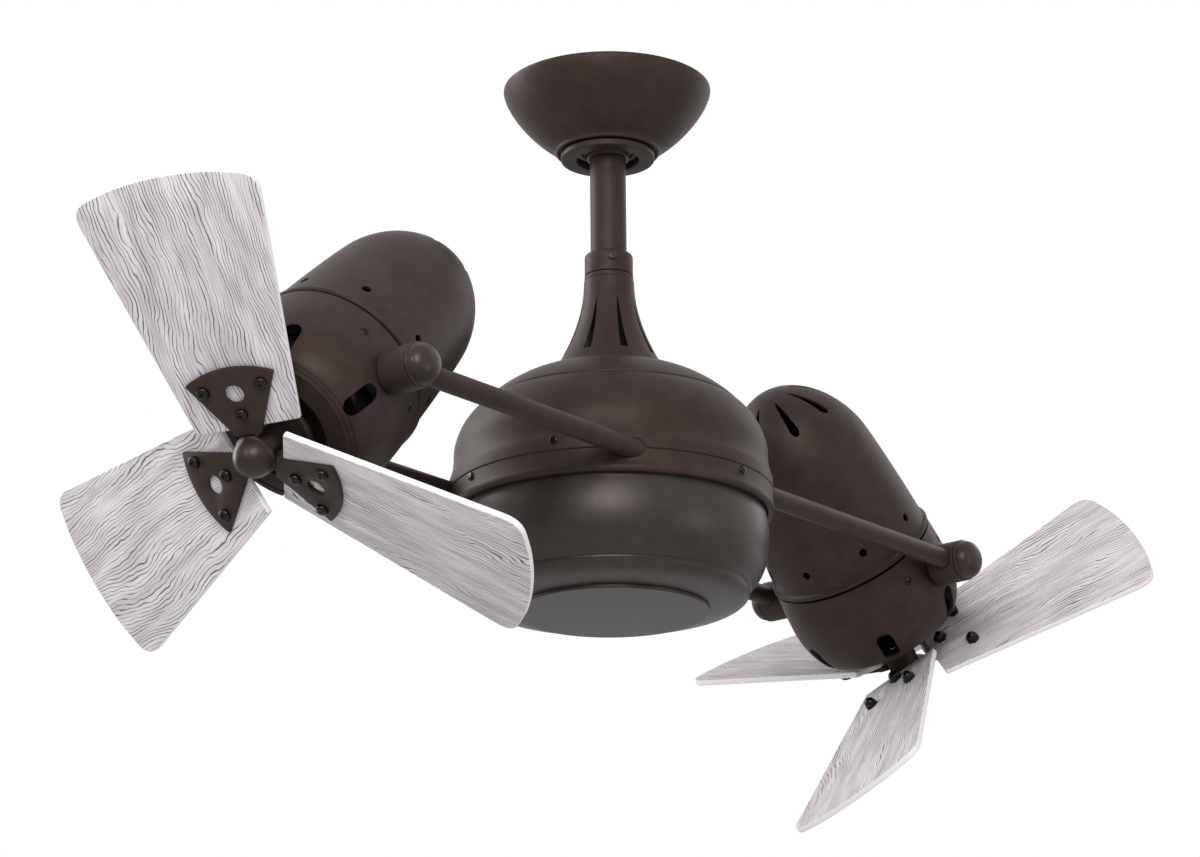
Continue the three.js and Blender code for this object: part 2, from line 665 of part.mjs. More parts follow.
function chassis() {
  const shoulder = BEARING_RADIUS - 3;
  const body = revolve([
    [bearingSeat, upperBearingTop + 2],
    [bearingSeat, upperBearingTop - BEARING_HEIGHT - SEAT_GAP],
    [shoulder, upperBearingTop - BEARING_HEIGHT - SEAT_GAP],
    [shoulder, lowerBearingTop + SEAT_GAP],
    [bearingSeat, lowerBearingTop + SEAT_GAP],
    [bearingSeat, chassisPlateUnder],
    [chassisRadius, chassisPlateUnder],
    [chassisRadius, chassisPlateTop],
    [bearingTubeRadius + 6, chassisPlateTop],
    [bearingTubeRadius, chassisPlateTop + 14],
    [bearingTubeRadius, upperBearingTop + 2],
  ], MEDIUM);
  const saddleTop = rodHeight + ROD_RADIUS + 1.5;
  const saddleUnder = chassisPlateTop - 1;
  const saddles = [-1, 1].map((side) => block(
    SADDLE_LENGTH, 2 * (ROD_RADIUS + SADDLE_WALL), saddleTop - saddleUnder,
    0, side * rodOffset, (saddleTop + saddleUnder) / 2));
  const bores = [-1, 1].map((side) => barAlongX(
    ROD_RADIUS + SEAT_GAP, -chassisRadius, chassisRadius, FINE, side * rodOffset, rodHeight));
  const window = new THREE.Shape();
  window.absarc(0, 0, chassisRadius - 14, radians(-28), radians(28), false);
  window.absarc(0, 0, bearingTubeRadius + 14, radians(20), radians(-20), true);
  window.closePath();
  const windows = [0, 180].map((turn) => plate(window, chassisPlateUnder - 1, chassisPlateTop + 1, 3)
    .rotate([0, 0, turn]));
  return cut(join(body, ...saddles), ...bores, ...windows);
}

function brushBlock() {
  const reach = 16;
  const height = chassisPlateUnder - SEAT_GAP - (drumTop - DRUM_HEIGHT);
  const middle = chassisPlateUnder - SEAT_GAP - height / 2;
  const near = DRUM_RADIUS + 2.5;
  const holder = block(18, reach, height, 0, near + reach / 2, middle);
  const pitch = DRUM_HEIGHT / 3;
  const fingers = [0, 1, 2].map((i) => block(
    4, 4, 2.4, 0, DRUM_RADIUS + SEAT_GAP + 2, drumTop - i * pitch - pitch * 0.7));
  return join(holder, ...fingers);
}

// A boss at the end of a support rod, with its axis along Y. The rod enters from the centre of the fan.
function pivotBoss() {
  const body = barAlongY(BOSS_RADIUS, bossFace, bossFace + BOSS_LENGTH, SMALL);
  const bore = barAlongY(boreFor(TRUNNION_RADIUS, FINE), bossFace - 1, bossFace + BOSS_LENGTH + 1, FINE);
  const rodSocket = barAlongX(ROD_RADIUS + SEAT_GAP, -2 * BOSS_RADIUS,
    -TRUNNION_RADIUS - 2, FINE, rodOffset, 0);
  return cut(body, bore, rodSocket);
}

function bossCap() {
  const base = bossFace + BOSS_LENGTH + SEAT_GAP;
  const rim = BOSS_RADIUS - 0.2;
  const spigot = TRUNNION_RADIUS - 0.1;
  const profile = [[0, base - 3.4], [spigot, base - 3.4], [spigot, base], [rim, base], [rim, base + 1]];
  const steps = 3;
  for (let i = 0; i <= steps; i += 1) {
    const angle = (i / steps) * (Math.PI / 2);
    profile.push([(rim - 0.7) * Math.cos(angle), base + 1.2 + (CAP_HEIGHT - 1.2) * Math.sin(angle)]);
  }
  profile[profile.length - 1][0] = 0;
  return revolve(profile, FINE).rotate([-90, 0, 0]);
}

function supportRod() {
  const end = pivotDistance - TRUNNION_RADIUS - 2 - SEAT_GAP;
  const outer = barAlongX(ROD_RADIUS, -end, end, FINE);
  const hollow = barAlongX(ROD_RADIUS - ROD_WALL, -end - 1, end + 1, 8);
  return cut(outer, hollow);
}

const body = new THREE.Group();
fan.add(body);
add(body, 'neck_cover', neckCover(), bronzePaint);
add(body, 'upper_housing', upperHousing(), bronzePaint);
add(body, 'lower_ring', lowerRing(), bronzePaint);
add(body, 'bowl_cover', bowlCover(), gunmetal);
add(body, 'blanking_disc', blankingDisc(), gunmetal);
add(body, 'chassis', chassis(), castIron);
add(body, 'brush_block', brushBlock(), nylon);
for (const [name, top] of [['upper_bearing', upperBearingTop], ['lower_bearing', lowerBearingTop]]) {
  const bearing = ring(BEARING_RADIUS, top - BEARING_HEIGHT, top, SMALL, SPINDLE_RADIUS + SEAT_GAP);
  add(body, name, bearing, zincSteel);
}
for (const [name, side] of [['front', -1], ['rear', 1]]) {
  add(body, `support_rod_${name}`, supportRod(), bronzePaint).position.set(0, side * rodOffset, rodHeight);
}

// ---------------------------------------------------------------- fan heads
// In a head's own frame +Z is the rotor axis towards the blades, +Y the tilt axis, origin where they cross.

const seamRadius = HEAD_RADIUS - HEAD_SEAM_INSET;
const waistRadius = HEAD_RADIUS - HEAD_WAIST_INSET;
const cradleRadius = seamRadius - HEAD_WALL + 0.3;
const statorRadius = waistRadius - HEAD_WALL - STATOR_GAP;

// Places a cutting tool, made along +Y at the shell's side, at one of a number of angles round Z.
const around = (tool, count, i) => tool.rotate([0, 0, (360 * i) / count]);

function rearShell() {
  const bead = seamRadius + 1.1;
  const outline = [
    [0, -HEAD_TAIL],
    ...bezier([
      [0, -HEAD_TAIL],
      [waistRadius * 0.5, -HEAD_TAIL],
      [waistRadius * 0.915, -HEAD_TAIL + 29],
      [waistRadius, -HEAD_TAIL + 57],
    ], 5),
    ...bezier([
      [waistRadius, -HEAD_TAIL + 57],
      [waistRadius + 4, -HEAD_TAIL + 85],
      [seamRadius - 2.4, -HEAD_SEAM - 10],
    ], 2),
    [bead - 1, -HEAD_SEAM - 4.5],
    [bead, -HEAD_SEAM - 2.4],
    [bead - 0.8, -HEAD_SEAM],
  ];
  const vent = plate(teardrop(TAIL_VENT_INNER, TAIL_VENT_OUTER + TAIL_VENT_RADIUS, TAIL_VENT_RADIUS, 1.6),
    -HEAD_TAIL - 2, -HEAD_TAIL + 50, 2);
  const tools = [];
  for (let i = 0; i < TAIL_VENTS; i += 1) tools.push(around(vent, TAIL_VENTS, i));
  return cut(casing(outline, HEAD_WALL, SHELL), ...tools);
}

function frontShell() {
  const start = -HEAD_SEAM + SEAT_GAP;
  const faceRadius = HEAD_RADIUS - HEAD_FACE_INSET;
  const outline = [
    [seamRadius, start],
    ...bezier([
      [seamRadius, start],
      [HEAD_RADIUS + 0.4, -2],
      [HEAD_RADIUS, 12],
    ], 2),
    ...bezier([
      [HEAD_RADIUS, 12],
      [HEAD_RADIUS - 1, HEAD_FRONT - 21.5],
      [faceRadius + 8, HEAD_FRONT - 9],
      [faceRadius, HEAD_FRONT - 3],
    ], 4),
    [HUB_FLANGE_RADIUS + HEAD_OPENING_GAP, HEAD_FRONT],
  ];
  const trunnionHoles = barAlongY(TRUNNION_SHOULDER + SEAT_GAP, -HEAD_RADIUS - 5,
    HEAD_RADIUS + 5, COARSE);
  const ventLean = 28;
  const vent = plate(obround(FRONT_VENT_LENGTH, FRONT_VENT_WIDTH), -9, 11, 3)
    .rotate([0, 0, 90]).rotate([-90 + ventLean, 0, 0])
    .translate([0, HEAD_RADIUS - 5, HEAD_FRONT - 16]);
  const tools = [];
  for (let i = 0; i < FRONT_VENTS; i += 1) tools.push(around(vent, FRONT_VENTS, i));
  return cut(casing(outline, HEAD_WALL, SHELL), trunnionHoles, ...tools);
}

// The motor's can: open towards the blades, with a bearing bore for the tail of the shaft.
function motorStator() {
  const rear = -STATOR_LENGTH / 2 - 3;
  const bearing = boreFor(SHAFT_RADIUS, SMALL);
  return revolve([
    [bearing, rear],
    [statorRadius, rear],
    [statorRadius, rear + STATOR_LENGTH],
    [ROTOR_RADIUS + AIR_GAP, rear + STATOR_LENGTH],
    [ROTOR_RADIUS + AIR_GAP, rear + 4],
    [bearing, rear + 4],
  ], SMALL);
}

function motorCradle() {
  const hoop = ring(cradleRadius, -12, 10, SMALL, statorRadius + SEAT_GAP);
  const shoulderEnd = bossFace - SEAT_GAP;
  const stubEnd = bossFace + BOSS_LENGTH - 4;
  const stubs = [-1, 1].flatMap((side) => [
    barAlongY(TRUNNION_SHOULDER, side * (cradleRadius - 3), side * shoulderEnd, COARSE),
    barAlongY(TRUNNION_RADIUS, side * (shoulderEnd - 3), side * stubEnd, FINE),
  ]);
  return join(hoop, ...stubs);
}

// ---------------------------------------------------------------- rotors

const hubFlangeBack = HEAD_FRONT + 2;
const hubFlangeFront = hubFlangeBack + HUB_FLANGE;
const plateUnder = BLADE_THICKNESS / 2 + SEAT_GAP;
const plateTop = plateUnder + BRACKET_PLATE;
const pitch = radians(BLADE_PITCH);
const hubTop = BLADE_PLANE + plateTop * Math.cos(pitch) + (FAN_ROOT_WIDTH / 2 + 1) * Math.sin(pitch);

function motorRotor() {
  const rear = -ROTOR_LENGTH / 2 - 1;
  const tail = -STATOR_LENGTH / 2 - 7;
  return revolve([
    [0, tail],
    [SHAFT_RADIUS, tail],
    [SHAFT_RADIUS, rear],
    [ROTOR_RADIUS, rear],
    [ROTOR_RADIUS, rear + ROTOR_LENGTH],
    [SHAFT_RADIUS, rear + ROTOR_LENGTH],
    [SHAFT_RADIUS, hubFlangeBack],
    [HUB_FLANGE_RADIUS, hubFlangeBack],
    [HUB_FLANGE_RADIUS, hubFlangeFront],
    [HUB_RADIUS, hubFlangeFront],
    [HUB_RADIUS, hubTop],
    [0, hubTop],
  ], FINE);
}

function spinner() {
  const base = hubTop + SEAT_GAP;
  return revolve([
    [0, base],
    [SPINNER_RADIUS, base],
    [SPINNER_RADIUS, base + 2],
    ...bezier([
      [SPINNER_RADIUS, base + 2],
      [SPINNER_RADIUS - 1.5, base + SPINNER_HEIGHT * 0.62],
      [SPINNER_RADIUS * 0.45, base + SPINNER_HEIGHT],
      [0, base + SPINNER_HEIGHT],
    ], 4),
  ], FINE);
}

// A blade along +Y, flat in XY, before it is pitched.
function bladeOutline() {
  const rootHalf = BLADE_ROOT_WIDTH / 2;
  const tipHalf = BLADE_TIP_WIDTH / 2;
  const tipCorner = Math.sqrt(BLADE_TIP ** 2 - tipHalf ** 2);
  const lean = Math.atan2(tipHalf - rootHalf, tipCorner - BLADE_ROOT);
  const cornerAngle = Math.asin((tipHalf - BLADE_CORNER * 1.1) / (BLADE_TIP - 0.1));
  const shape = new THREE.Shape();
  shape.moveTo(-rootHalf, BLADE_ROOT);
  shape.lineTo(rootHalf, BLADE_ROOT);
  shape.lineTo(tipHalf - BLADE_CORNER * Math.sin(lean), tipCorner - BLADE_CORNER * Math.cos(lean));
  shape.quadraticCurveTo(tipHalf, tipCorner,
    BLADE_TIP * Math.sin(cornerAngle), BLADE_TIP * Math.cos(cornerAngle));
  shape.absarc(0, 0, BLADE_TIP, Math.PI / 2 - cornerAngle, Math.PI / 2 + cornerAngle, false);
  shape.quadraticCurveTo(-tipHalf, tipCorner,
    -tipHalf + BLADE_CORNER * Math.sin(lean), tipCorner - BLADE_CORNER * Math.cos(lean));
  shape.closePath();
  return shape;
}

function blade() {
  return plate(bladeOutline(), -BLADE_THICKNESS / 2, BLADE_THICKNESS / 2, 4)
    .rotate([0, BLADE_PITCH, 0])
    .translate([0, 0, BLADE_PLANE]);
}

// A fan-shaped plate over the root of a blade, with a riser and a foot on the hub flange.
function bladeBracket() {
  const rootHalf = FAN_ROOT_WIDTH / 2;
  const outerHalf = FAN_OUTER_WIDTH / 2;
  const outerAngle = Math.asin(outerHalf / FAN_RADIUS);
  const shape = new THREE.Shape();
  shape.moveTo(-rootHalf, FAN_ROOT);
  shape.lineTo(rootHalf, FAN_ROOT);
  shape.absarc(0, 0, FAN_RADIUS, Math.PI / 2 - outerAngle, Math.PI / 2 + outerAngle, false);
  shape.closePath();
  const hole = new THREE.Path();
  hole.absarc(0, FAN_HOLE_PLACE, FAN_HOLE_RADIUS, 0, 2 * Math.PI, true);
  shape.holes.push(hole);
  const fanPlate = plate(shape, plateUnder, plateTop, 4);

  const riserLength = BLADE_ROOT - 1.5 - FAN_ROOT - 0.7;
  const riserMiddle = FAN_ROOT + 0.7 + riserLength / 2;
  const riserUnder = hubFlangeFront + 2.5 - BLADE_PLANE;
  const riser = block(12, riserLength, plateTop - 0.5 - riserUnder,
    0, riserMiddle, (plateTop - 0.5 + riserUnder) / 2);
  const leaning = join(fanPlate, riser).rotate([0, BLADE_PITCH, 0]).translate([0, 0, BLADE_PLANE]);
  const footUnder = hubFlangeFront + SEAT_GAP;
  const foot = block(16, FOOT_LENGTH, 3.4, 0, FAN_ROOT + 0.7 + FOOT_LENGTH / 2, footUnder + 1.7);
  const below = block(80, 80, 40, 0, 0, footUnder - 20);
  return cut(join(leaning, foot), below);
}

// ---------------------------------------------------------------- both ends of the rods

for (const [i, end] of ['a', 'b'].entries()) {
  const arm = new THREE.Group();
  arm.rotation.z = i * Math.PI;
  body.add(arm);

  const pivot = new THREE.Group();
  pivot.position.set(pivotDistance, 0, rodHeight);
  arm.add(pivot);
  for (const [n, side] of [1, -1].entries()) {
    const mirror = [1, side, 1];
    add(pivot, `pivot_boss_${end}${n + 1}`, pivotBoss().scale(mirror), bronzePaint);
    add(pivot, `boss_cap_${end}${n + 1}`, bossCap().scale(mirror), bronzeGloss);
  }

  const head = new THREE.Group();
  head.rotation.y = radians(90 + HEAD_TILT);
  pivot.add(head);
  add(head, `rear_shell_${end}`, rearShell(), bronzePaint);
  add(head, `front_shell_${end}`, frontShell(), bronzePaint);
  add(head, `motor_cradle_${end}`, motorCradle(), castIron);
  add(head, `motor_stator_${end}`, motorStator(), castIron);

  add(head, `motor_rotor_${end}`, motorRotor(), bronzePaint);
  add(head, `spinner_${end}`, spinner(), bronzeGloss);
  for (let k = 0; k < BLADE_COUNT; k += 1) {
    const station = new THREE.Group();
    station.rotation.z = radians(ROTOR_PHASES[i] + (360 * k) / BLADE_COUNT);
    head.add(station);
    add(station, `blade_${end}${k + 1}`, blade(), barnwood);
    add(station, `blade_bracket_${end}${k + 1}`, bladeBracket(), bronzePaint);
  }
}

export default fan;
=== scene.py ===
import json
import math

import bmesh
import bpy
from mathutils import Matrix, Vector


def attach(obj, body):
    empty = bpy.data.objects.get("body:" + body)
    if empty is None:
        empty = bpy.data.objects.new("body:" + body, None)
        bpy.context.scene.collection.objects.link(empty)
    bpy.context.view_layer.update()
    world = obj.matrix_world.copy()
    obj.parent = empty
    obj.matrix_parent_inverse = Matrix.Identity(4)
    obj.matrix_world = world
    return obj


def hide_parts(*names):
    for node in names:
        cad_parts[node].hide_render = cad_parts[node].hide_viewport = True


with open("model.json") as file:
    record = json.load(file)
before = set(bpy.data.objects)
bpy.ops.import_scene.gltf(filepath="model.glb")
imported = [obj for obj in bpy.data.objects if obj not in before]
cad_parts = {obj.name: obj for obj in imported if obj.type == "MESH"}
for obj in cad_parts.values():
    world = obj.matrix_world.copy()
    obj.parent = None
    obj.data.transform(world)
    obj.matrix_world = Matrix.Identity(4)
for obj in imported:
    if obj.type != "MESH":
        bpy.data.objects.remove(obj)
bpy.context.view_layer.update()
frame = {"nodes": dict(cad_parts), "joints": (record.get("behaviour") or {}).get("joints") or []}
print("frame loaded")

mm = 0.001
fullTurn = 2 * math.pi
joints = {joint["name"]: joint for joint in frame["joints"]}
rodHeight = joints["axial_spin"]["pos_m"][2] / mm     # axis of the support rods, mm below the ceiling


# ------------------------------------------------------------ materials

def hexColour(text):
    channels = [int(text[i:i + 2], 16) / 255 for i in (1, 3, 5)]
    linear = [c / 12.92 if c <= 0.04045 else ((c + 0.055) / 1.055) ** 2.4 for c in channels]
    return (*linear, 1)


def addNode(tree, kind, inputs=None, **settings):
    node = tree.nodes.new(kind)
    for name, value in settings.items():
        setattr(node, name, value)
    for name, value in (inputs or {}).items():
        if isinstance(value, bpy.types.NodeSocket):
            tree.links.new(value, node.inputs[name])
        else:
            node.inputs[name].default_value = value
    return node


def newMaterial(name, **shader):
    material = bpy.data.materials.new(name)
    material.use_nodes = True
    tree = material.node_tree
    tree.nodes.clear()
    output = addNode(tree, "ShaderNodeOutputMaterial")
    surface = addNode(tree, "ShaderNodeBsdfPrincipled", shader)
    tree.links.new(surface.outputs[0], output.inputs[0])
    return material, tree, surface


def noiseAt(tree, period, detail=2.0, roughness=0.5, vector=None):
    if vector is None:
        vector = addNode(tree, "ShaderNodeTexCoord").outputs["Object"]
    return addNode(tree, "ShaderNodeTexNoise", {
        "Vector": vector, "Scale": 1 / (period * mm), "Detail": detail, "Roughness": roughness,
    }).outputs[0]


def blendColours(tree, factor, low, high):
    return addNode(tree, "ShaderNodeMix", {0: factor, 6: low, 7: high}, data_type="RGBA").outputs[2]


def remap(tree, value, low, high, toLow=0.0, toHigh=1.0, smooth=False):
    return addNode(tree, "ShaderNodeMapRange", {0: value, 1: low, 2: high, 3: toLow, 4: toHigh},
                   interpolation_type="SMOOTHSTEP" if smooth else "LINEAR").outputs[0]


def calc(tree, operation, a, b=0.0):
    return addNode(tree, "ShaderNodeMath", {0: a, 1: b}, operation=operation).outputs[0]


def bumpFrom(tree, surface, height, depth, strength=1.0):
    bump = addNode(tree, "ShaderNodeBump", {"Height": height, "Distance": depth * mm, "Strength": strength})
    tree.links.new(bump.outputs[0], surface.inputs["Normal"])


def paintedMetal(name, dark, light, roughness, grit, depth, specular, sheen="#ffffff"):
    # two browns in a fine mottle over an orange-peel skin, with tinted highlights
    material, tree, surface = newMaterial(name, **{
        "Specular IOR Level": specular, "Specular Tint": hexColour(sheen)})
    mottle = remap(tree, noiseAt(tree, 14, 4, 0.6), 0.35, 0.65)
    colour = blendColours(tree, mottle, hexColour(dark), hexColour(light))
    tree.links.new(colour, surface.inputs["Base Color"])
    skin = noiseAt(tree, grit, 2)
    polish = remap(tree, skin, 0.3, 0.7, roughness - 0.05, roughness + 0.05)
    tree.links.new(polish, surface.inputs["Roughness"])
    bumpFrom(tree, surface, skin, depth)
    return material


def plainMetal(name, colour, roughness, streak, metallic=1.0):
    # turning marks show as a slight change of roughness
    material, tree, surface = newMaterial(name, **{"Base Color": hexColour(colour), "Metallic": metallic})
    marks = noiseAt(tree, streak, 3, 0.6)
    polish = remap(tree, marks, 0.3, 0.7, roughness * 0.7, roughness * 1.3)
    tree.links.new(polish, surface.inputs["Roughness"])
    bumpFrom(tree, surface, marks, 0.02)
    return material


# powder-coated steel: a soft, even satin brown with wide highlights
texturedBronze = paintedMetal("powder_coated_bronze", "#2a201d", "#322724", 0.48, 0.9, 0.012, 0.2, "#f3ddd6")
# smooth sprayed lacquer over castings: tighter, streaky highlights
satinBronze = paintedMetal("lacquered_bronze", "#241c1a", "#302624", 0.35, 3.5, 0.008, 0.3, "#efe2dd")
# matt gunmetal powder coat of the bowl: greyer than the bronze
gunmetalCoat = paintedMetal("gunmetal_powder_coat", "#282422", "#2e2a28", 0.38, 0.9, 0.012, 0.34, "#f3e2db")
# hot black oxide on screws and nuts: near black with sharp glints
blackOxide = paintedMetal("black_oxide_steel", "#0a0807", "#110d0c", 0.15, 2.0, 0.003, 0.24)
# bright zinc plate: pale and a little cloudy
zincPlate = plainMetal("zinc_plated_steel", "#b9bbbc", 0.32, 3.0)
nickelPlate = plainMetal("nickel_plated_steel", "#d5d3cf", 0.18, 2.0)
castIron = paintedMetal("sand_cast_iron", "#37383a", "#47484a", 0.62, 1.6, 0.08, 0.3)
turnedBrass = plainMetal("turned_brass", "#c9a158", 0.3, 1.0)
# dark nylon; its near-black also colours the sleeve that paints the shade inside the neck
mouldedNylon = paintedMetal("moulded_nylon", "#101011", "#151516", 0.6, 1.2, 0.01, 0.1)
motorVarnish = paintedMetal("varnished_laminations", "#0d0d0e", "#151415", 0.5, 1.0, 0.03, 0.3)


def barnwoodFilm():
    # bleached barnwood print on fibreboard: dark wavy growth lines along the blade
    material, tree, surface = newMaterial("bleached_barnwood", **{
        "Specular IOR Level": 0.25, "Roughness": 0.62})
    blade = addNode(tree, "ShaderNodeUVMap", uv_map="grain").outputs[0]
    across = addNode(tree, "ShaderNodeSeparateXYZ", {0: blade}).outputs[0]

    def stretched(acrossPeriod, alongPeriod, detail=2.0):
        mapped = addNode(tree, "ShaderNodeMapping", {
            "Vector": blade, "Scale": (1 / (acrossPeriod * mm), 1 / (alongPeriod * mm), 1)}).outputs[0]
        return addNode(tree, "ShaderNodeTexNoise", {
            "Vector": mapped, "Scale": 1.0, "Detail": detail, "Roughness": 0.5}).outputs[0]

    lineSpacing = 2.3
    swirl = calc(tree, "MULTIPLY", calc(tree, "SUBTRACT", stretched(75, 110, 1.0), 0.5), 17.0)
    wander = calc(tree, "MULTIPLY", calc(tree, "SUBTRACT", stretched(13, 22, 2.0), 0.5), 2.6)
    crowding = calc(tree, "MULTIPLY", calc(tree, "SUBTRACT", stretched(9, 120, 1.0), 0.5), 1.8)
    rings = calc(tree, "MULTIPLY", across, 1 / (lineSpacing * mm))
    rings = calc(tree, "ADD", calc(tree, "ADD", rings, swirl), calc(tree, "ADD", wander, crowding))
    ridge = calc(tree, "PINGPONG", rings, 0.5)
    weight = stretched(5, 55, 3.0)
    width = remap(tree, weight, 0.36, 0.64, 0.06, 0.2)
    fade = remap(tree, calc(tree, "DIVIDE", ridge, width), 0.35, 1.0, smooth=True)
    line = calc(tree, "SUBTRACT", 1.0, fade)
    fineRings = calc(tree, "PINGPONG", calc(tree, "MULTIPLY", rings, 2.7), 0.5)
    fineLine = remap(tree, fineRings, 0.0, 0.16, 1.0, 0.0, smooth=True)
    fineLine = calc(tree, "MULTIPLY", fineLine, remap(tree, stretched(7, 24, 2.0), 0.36, 0.58))

    cloud = remap(tree, stretched(10, 60, 4.0), 0.35, 0.65)
    pale = blendColours(tree, cloud, hexColour("#bab4b9"), hexColour("#d4cfd3"))
    soft = blendColours(tree, calc(tree, "MULTIPLY", fineLine, 0.7), pale, hexColour("#8a838a"))
    inked = calc(tree, "MULTIPLY", line, remap(tree, weight, 0.34, 0.56, 0.45, 0.9))
    colour = blendColours(tree, inked, soft, hexColour("#3f383c"))
    edge = addNode(tree, "ShaderNodeAttribute", attribute_name="edgeBand").outputs["Fac"]
    tree.links.new(blendColours(tree, edge, colour, hexColour("#dedadb")), surface.inputs["Base Color"])
    relief = calc(tree, "MULTIPLY", calc(tree, "ADD", line, calc(tree, "MULTIPLY", fineLine, 0.4)), -1.0)
    bumpFrom(tree, surface, relief, 0.15, 0.6)
    return material


barnwood = barnwoodFilm()
print("materials made")


# ------------------------------------------------------------ modelling helpers

def arcPoints(centre, radius, start, end, steps):
    angles = [math.radians(start + (end - start) * i / steps) for i in range(steps + 1)]
    return [(centre[0] + radius * math.cos(a), centre[1] + radius * math.sin(a)) for a in angles]


def bezierPoints(*controls, steps=12):
    points = []
    degree = len(controls) - 1
    for i in range(steps + 1):
        t = i / steps
        weights = [math.comb(degree, k) * (1 - t) ** (degree - k) * t ** k for k in range(degree + 1)]
        points.append(tuple(sum(w * c[axis] for w, c in zip(weights, controls)) for axis in (0, 1)))
    return points


def rounded(points, steps=4):
    # a corner with a third value is cut back by it and filled with a curve
    done = []
    for i, corner in enumerate(points):
        if len(corner) == 2 or i in (0, len(points) - 1):
            done.append(tuple(corner[:2]))
            continue
        here = Vector(corner[:2])
        before = Vector(points[i - 1][:2]) - here
        after = Vector(points[i + 1][:2]) - here
        start = here + before.normalized() * min(corner[2], before.length * 0.49)
        end = here + after.normalized() * min(corner[2], after.length * 0.49)
        done += bezierPoints(tuple(start), tuple(here), tuple(end), steps=steps)
    return done


def spun(points, facets=128, closed=False):
    # a profile of (radius, height) in mm turned about Z
    build = bmesh.new()
    verts = [build.verts.new((r * mm, 0, z * mm)) for r, z in points]
    edges = [build.edges.new(pair) for pair in zip(verts, verts[1:])]
    if closed:
        edges.append(build.edges.new((verts[-1], verts[0])))
    bmesh.ops.spin(build, geom=verts + edges, cent=(0, 0, 0), axis=(0, 0, 1), angle=fullTurn,
                   steps=facets, use_merge=True)
    bmesh.ops.remove_doubles(build, verts=build.verts, dist=1e-6)
    bmesh.ops.dissolve_degenerate(build, edges=build.edges, dist=1e-7)
    bmesh.ops.recalc_face_normals(build, faces=build.faces)
    return build


def walled(points, wall, facets=128):
    # a shell: the profile turned, then thickened inwards
    build = spun(points, facets)
    facing = sum(face.calc_area() * (face.normal.xy @ face.calc_center_median().xy) for face in build.faces)
    if facing < 0:
        bmesh.ops.reverse_faces(build, faces=build.faces)
    shell = toObject(build, "shell")
    thick = shell.modifiers.new("wall", "SOLIDIFY")
    thick.thickness = wall * mm
    thick.offset = -1
    thick.use_even_offset = True
    return fromObject(shell)


def prism(points, low, high):
    # an outline in XY, mm, drawn up from one height to another
    build = bmesh.new()
    face = build.faces.new([build.verts.new((x * mm, y * mm, low * mm)) for x, y in points])
    grown = bmesh.ops.extrude_face_region(build, geom=[face])
    risen = [v for v in grown["geom"] if isinstance(v, bmesh.types.BMVert)]
    bmesh.ops.translate(build, verts=risen, vec=(0, 0, (high - low) * mm))
    bmesh.ops.recalc_face_normals(build, faces=build.faces)
    return build


def softened(build, width, segments=2, angle=40):
    sharp = [e for e in build.edges if e.is_manifold and e.calc_face_angle(0) > math.radians(angle)]
    bmesh.ops.bevel(build, geom=sharp, offset=width * mm, segments=segments, profile=0.5,
                    affect="EDGES", material=-1, clamp_overlap=True)
    return build


def placed(build, *steps):
    # steps are applied first to last
    for step in steps:
        bmesh.ops.transform(build, matrix=step, verts=build.verts)
    if any(step.determinant() < 0 for step in steps):
        bmesh.ops.reverse_faces(build, faces=build.faces)
    return build


def move(x=0, y=0, z=0):
    return Matrix.Translation((x * mm, y * mm, z * mm))


def turn(degrees, axis="Z"):
    return Matrix.Rotation(math.radians(degrees), 4, axis)


def joined(*builds):
    whole = bmesh.new()
    for build in builds:
        mesh = bpy.data.meshes.new("part")
        build.to_mesh(mesh)
        whole.from_mesh(mesh)
        bpy.data.meshes.remove(mesh)
        build.free()
    return whole


def copied(build, *placings):
    # one copy at each placing, a list of matrices applied first to last
    copies = []
    for steps in placings:
        copies.append(placed(build.copy(), *steps))
    build.free()
    return joined(*copies)


def toObject(build, name):
    mesh = bpy.data.meshes.new(name)
    build.to_mesh(mesh)
    build.free()
    shaped = bpy.data.objects.new(name, mesh)
    bpy.context.scene.collection.objects.link(shaped)
    return shaped


def fromObject(shaped):
    bpy.context.view_layer.update()
    evaluated = shaped.evaluated_get(bpy.context.evaluated_depsgraph_get())
    build = bmesh.new()
    build.from_mesh(evaluated.data)
    mesh = shaped.data
    bpy.data.objects.remove(shaped)
    bpy.data.meshes.remove(mesh)
    return build


def combined(build, tools, operation="DIFFERENCE"):
    subject = toObject(build, "subject")
    tool = toObject(tools, "tool")
    step = subject.modifiers.new("step", "BOOLEAN")
    step.operation = operation
    step.object = tool
    step.solver = "EXACT"
    result = fromObject(subject)
    mesh = tool.data
    bpy.data.objects.remove(tool)
    bpy.data.meshes.remove(mesh)
    return result


def finished(name, build, material, body, nodes=(), sharp=32):
    mesh = bpy.data.meshes.new(name)
    build.to_mesh(mesh)
    build.free()
    mesh.materials.append(material)
    mesh.shade_smooth()
    mesh.set_sharp_from_angle(angle=math.radians(sharp))
    piece = bpy.data.objects.new(name, mesh)
    bpy.context.scene.collection.objects.link(piece)
    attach(piece, body)
    if nodes:
        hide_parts(*nodes)
    return piece


def cylinderTool(radius, low, high, facets=32):
    return spun([(0, low), (radius, low), (radius, high), (0, high)], facets)


def slotOutline(length, width, steps=10):
    half = length / 2 - width / 2
    right = arcPoints((half, 0), width / 2, -90, 90, steps)
    left = arcPoints((-half, 0), width / 2, 90, 270, steps)
    return right + left


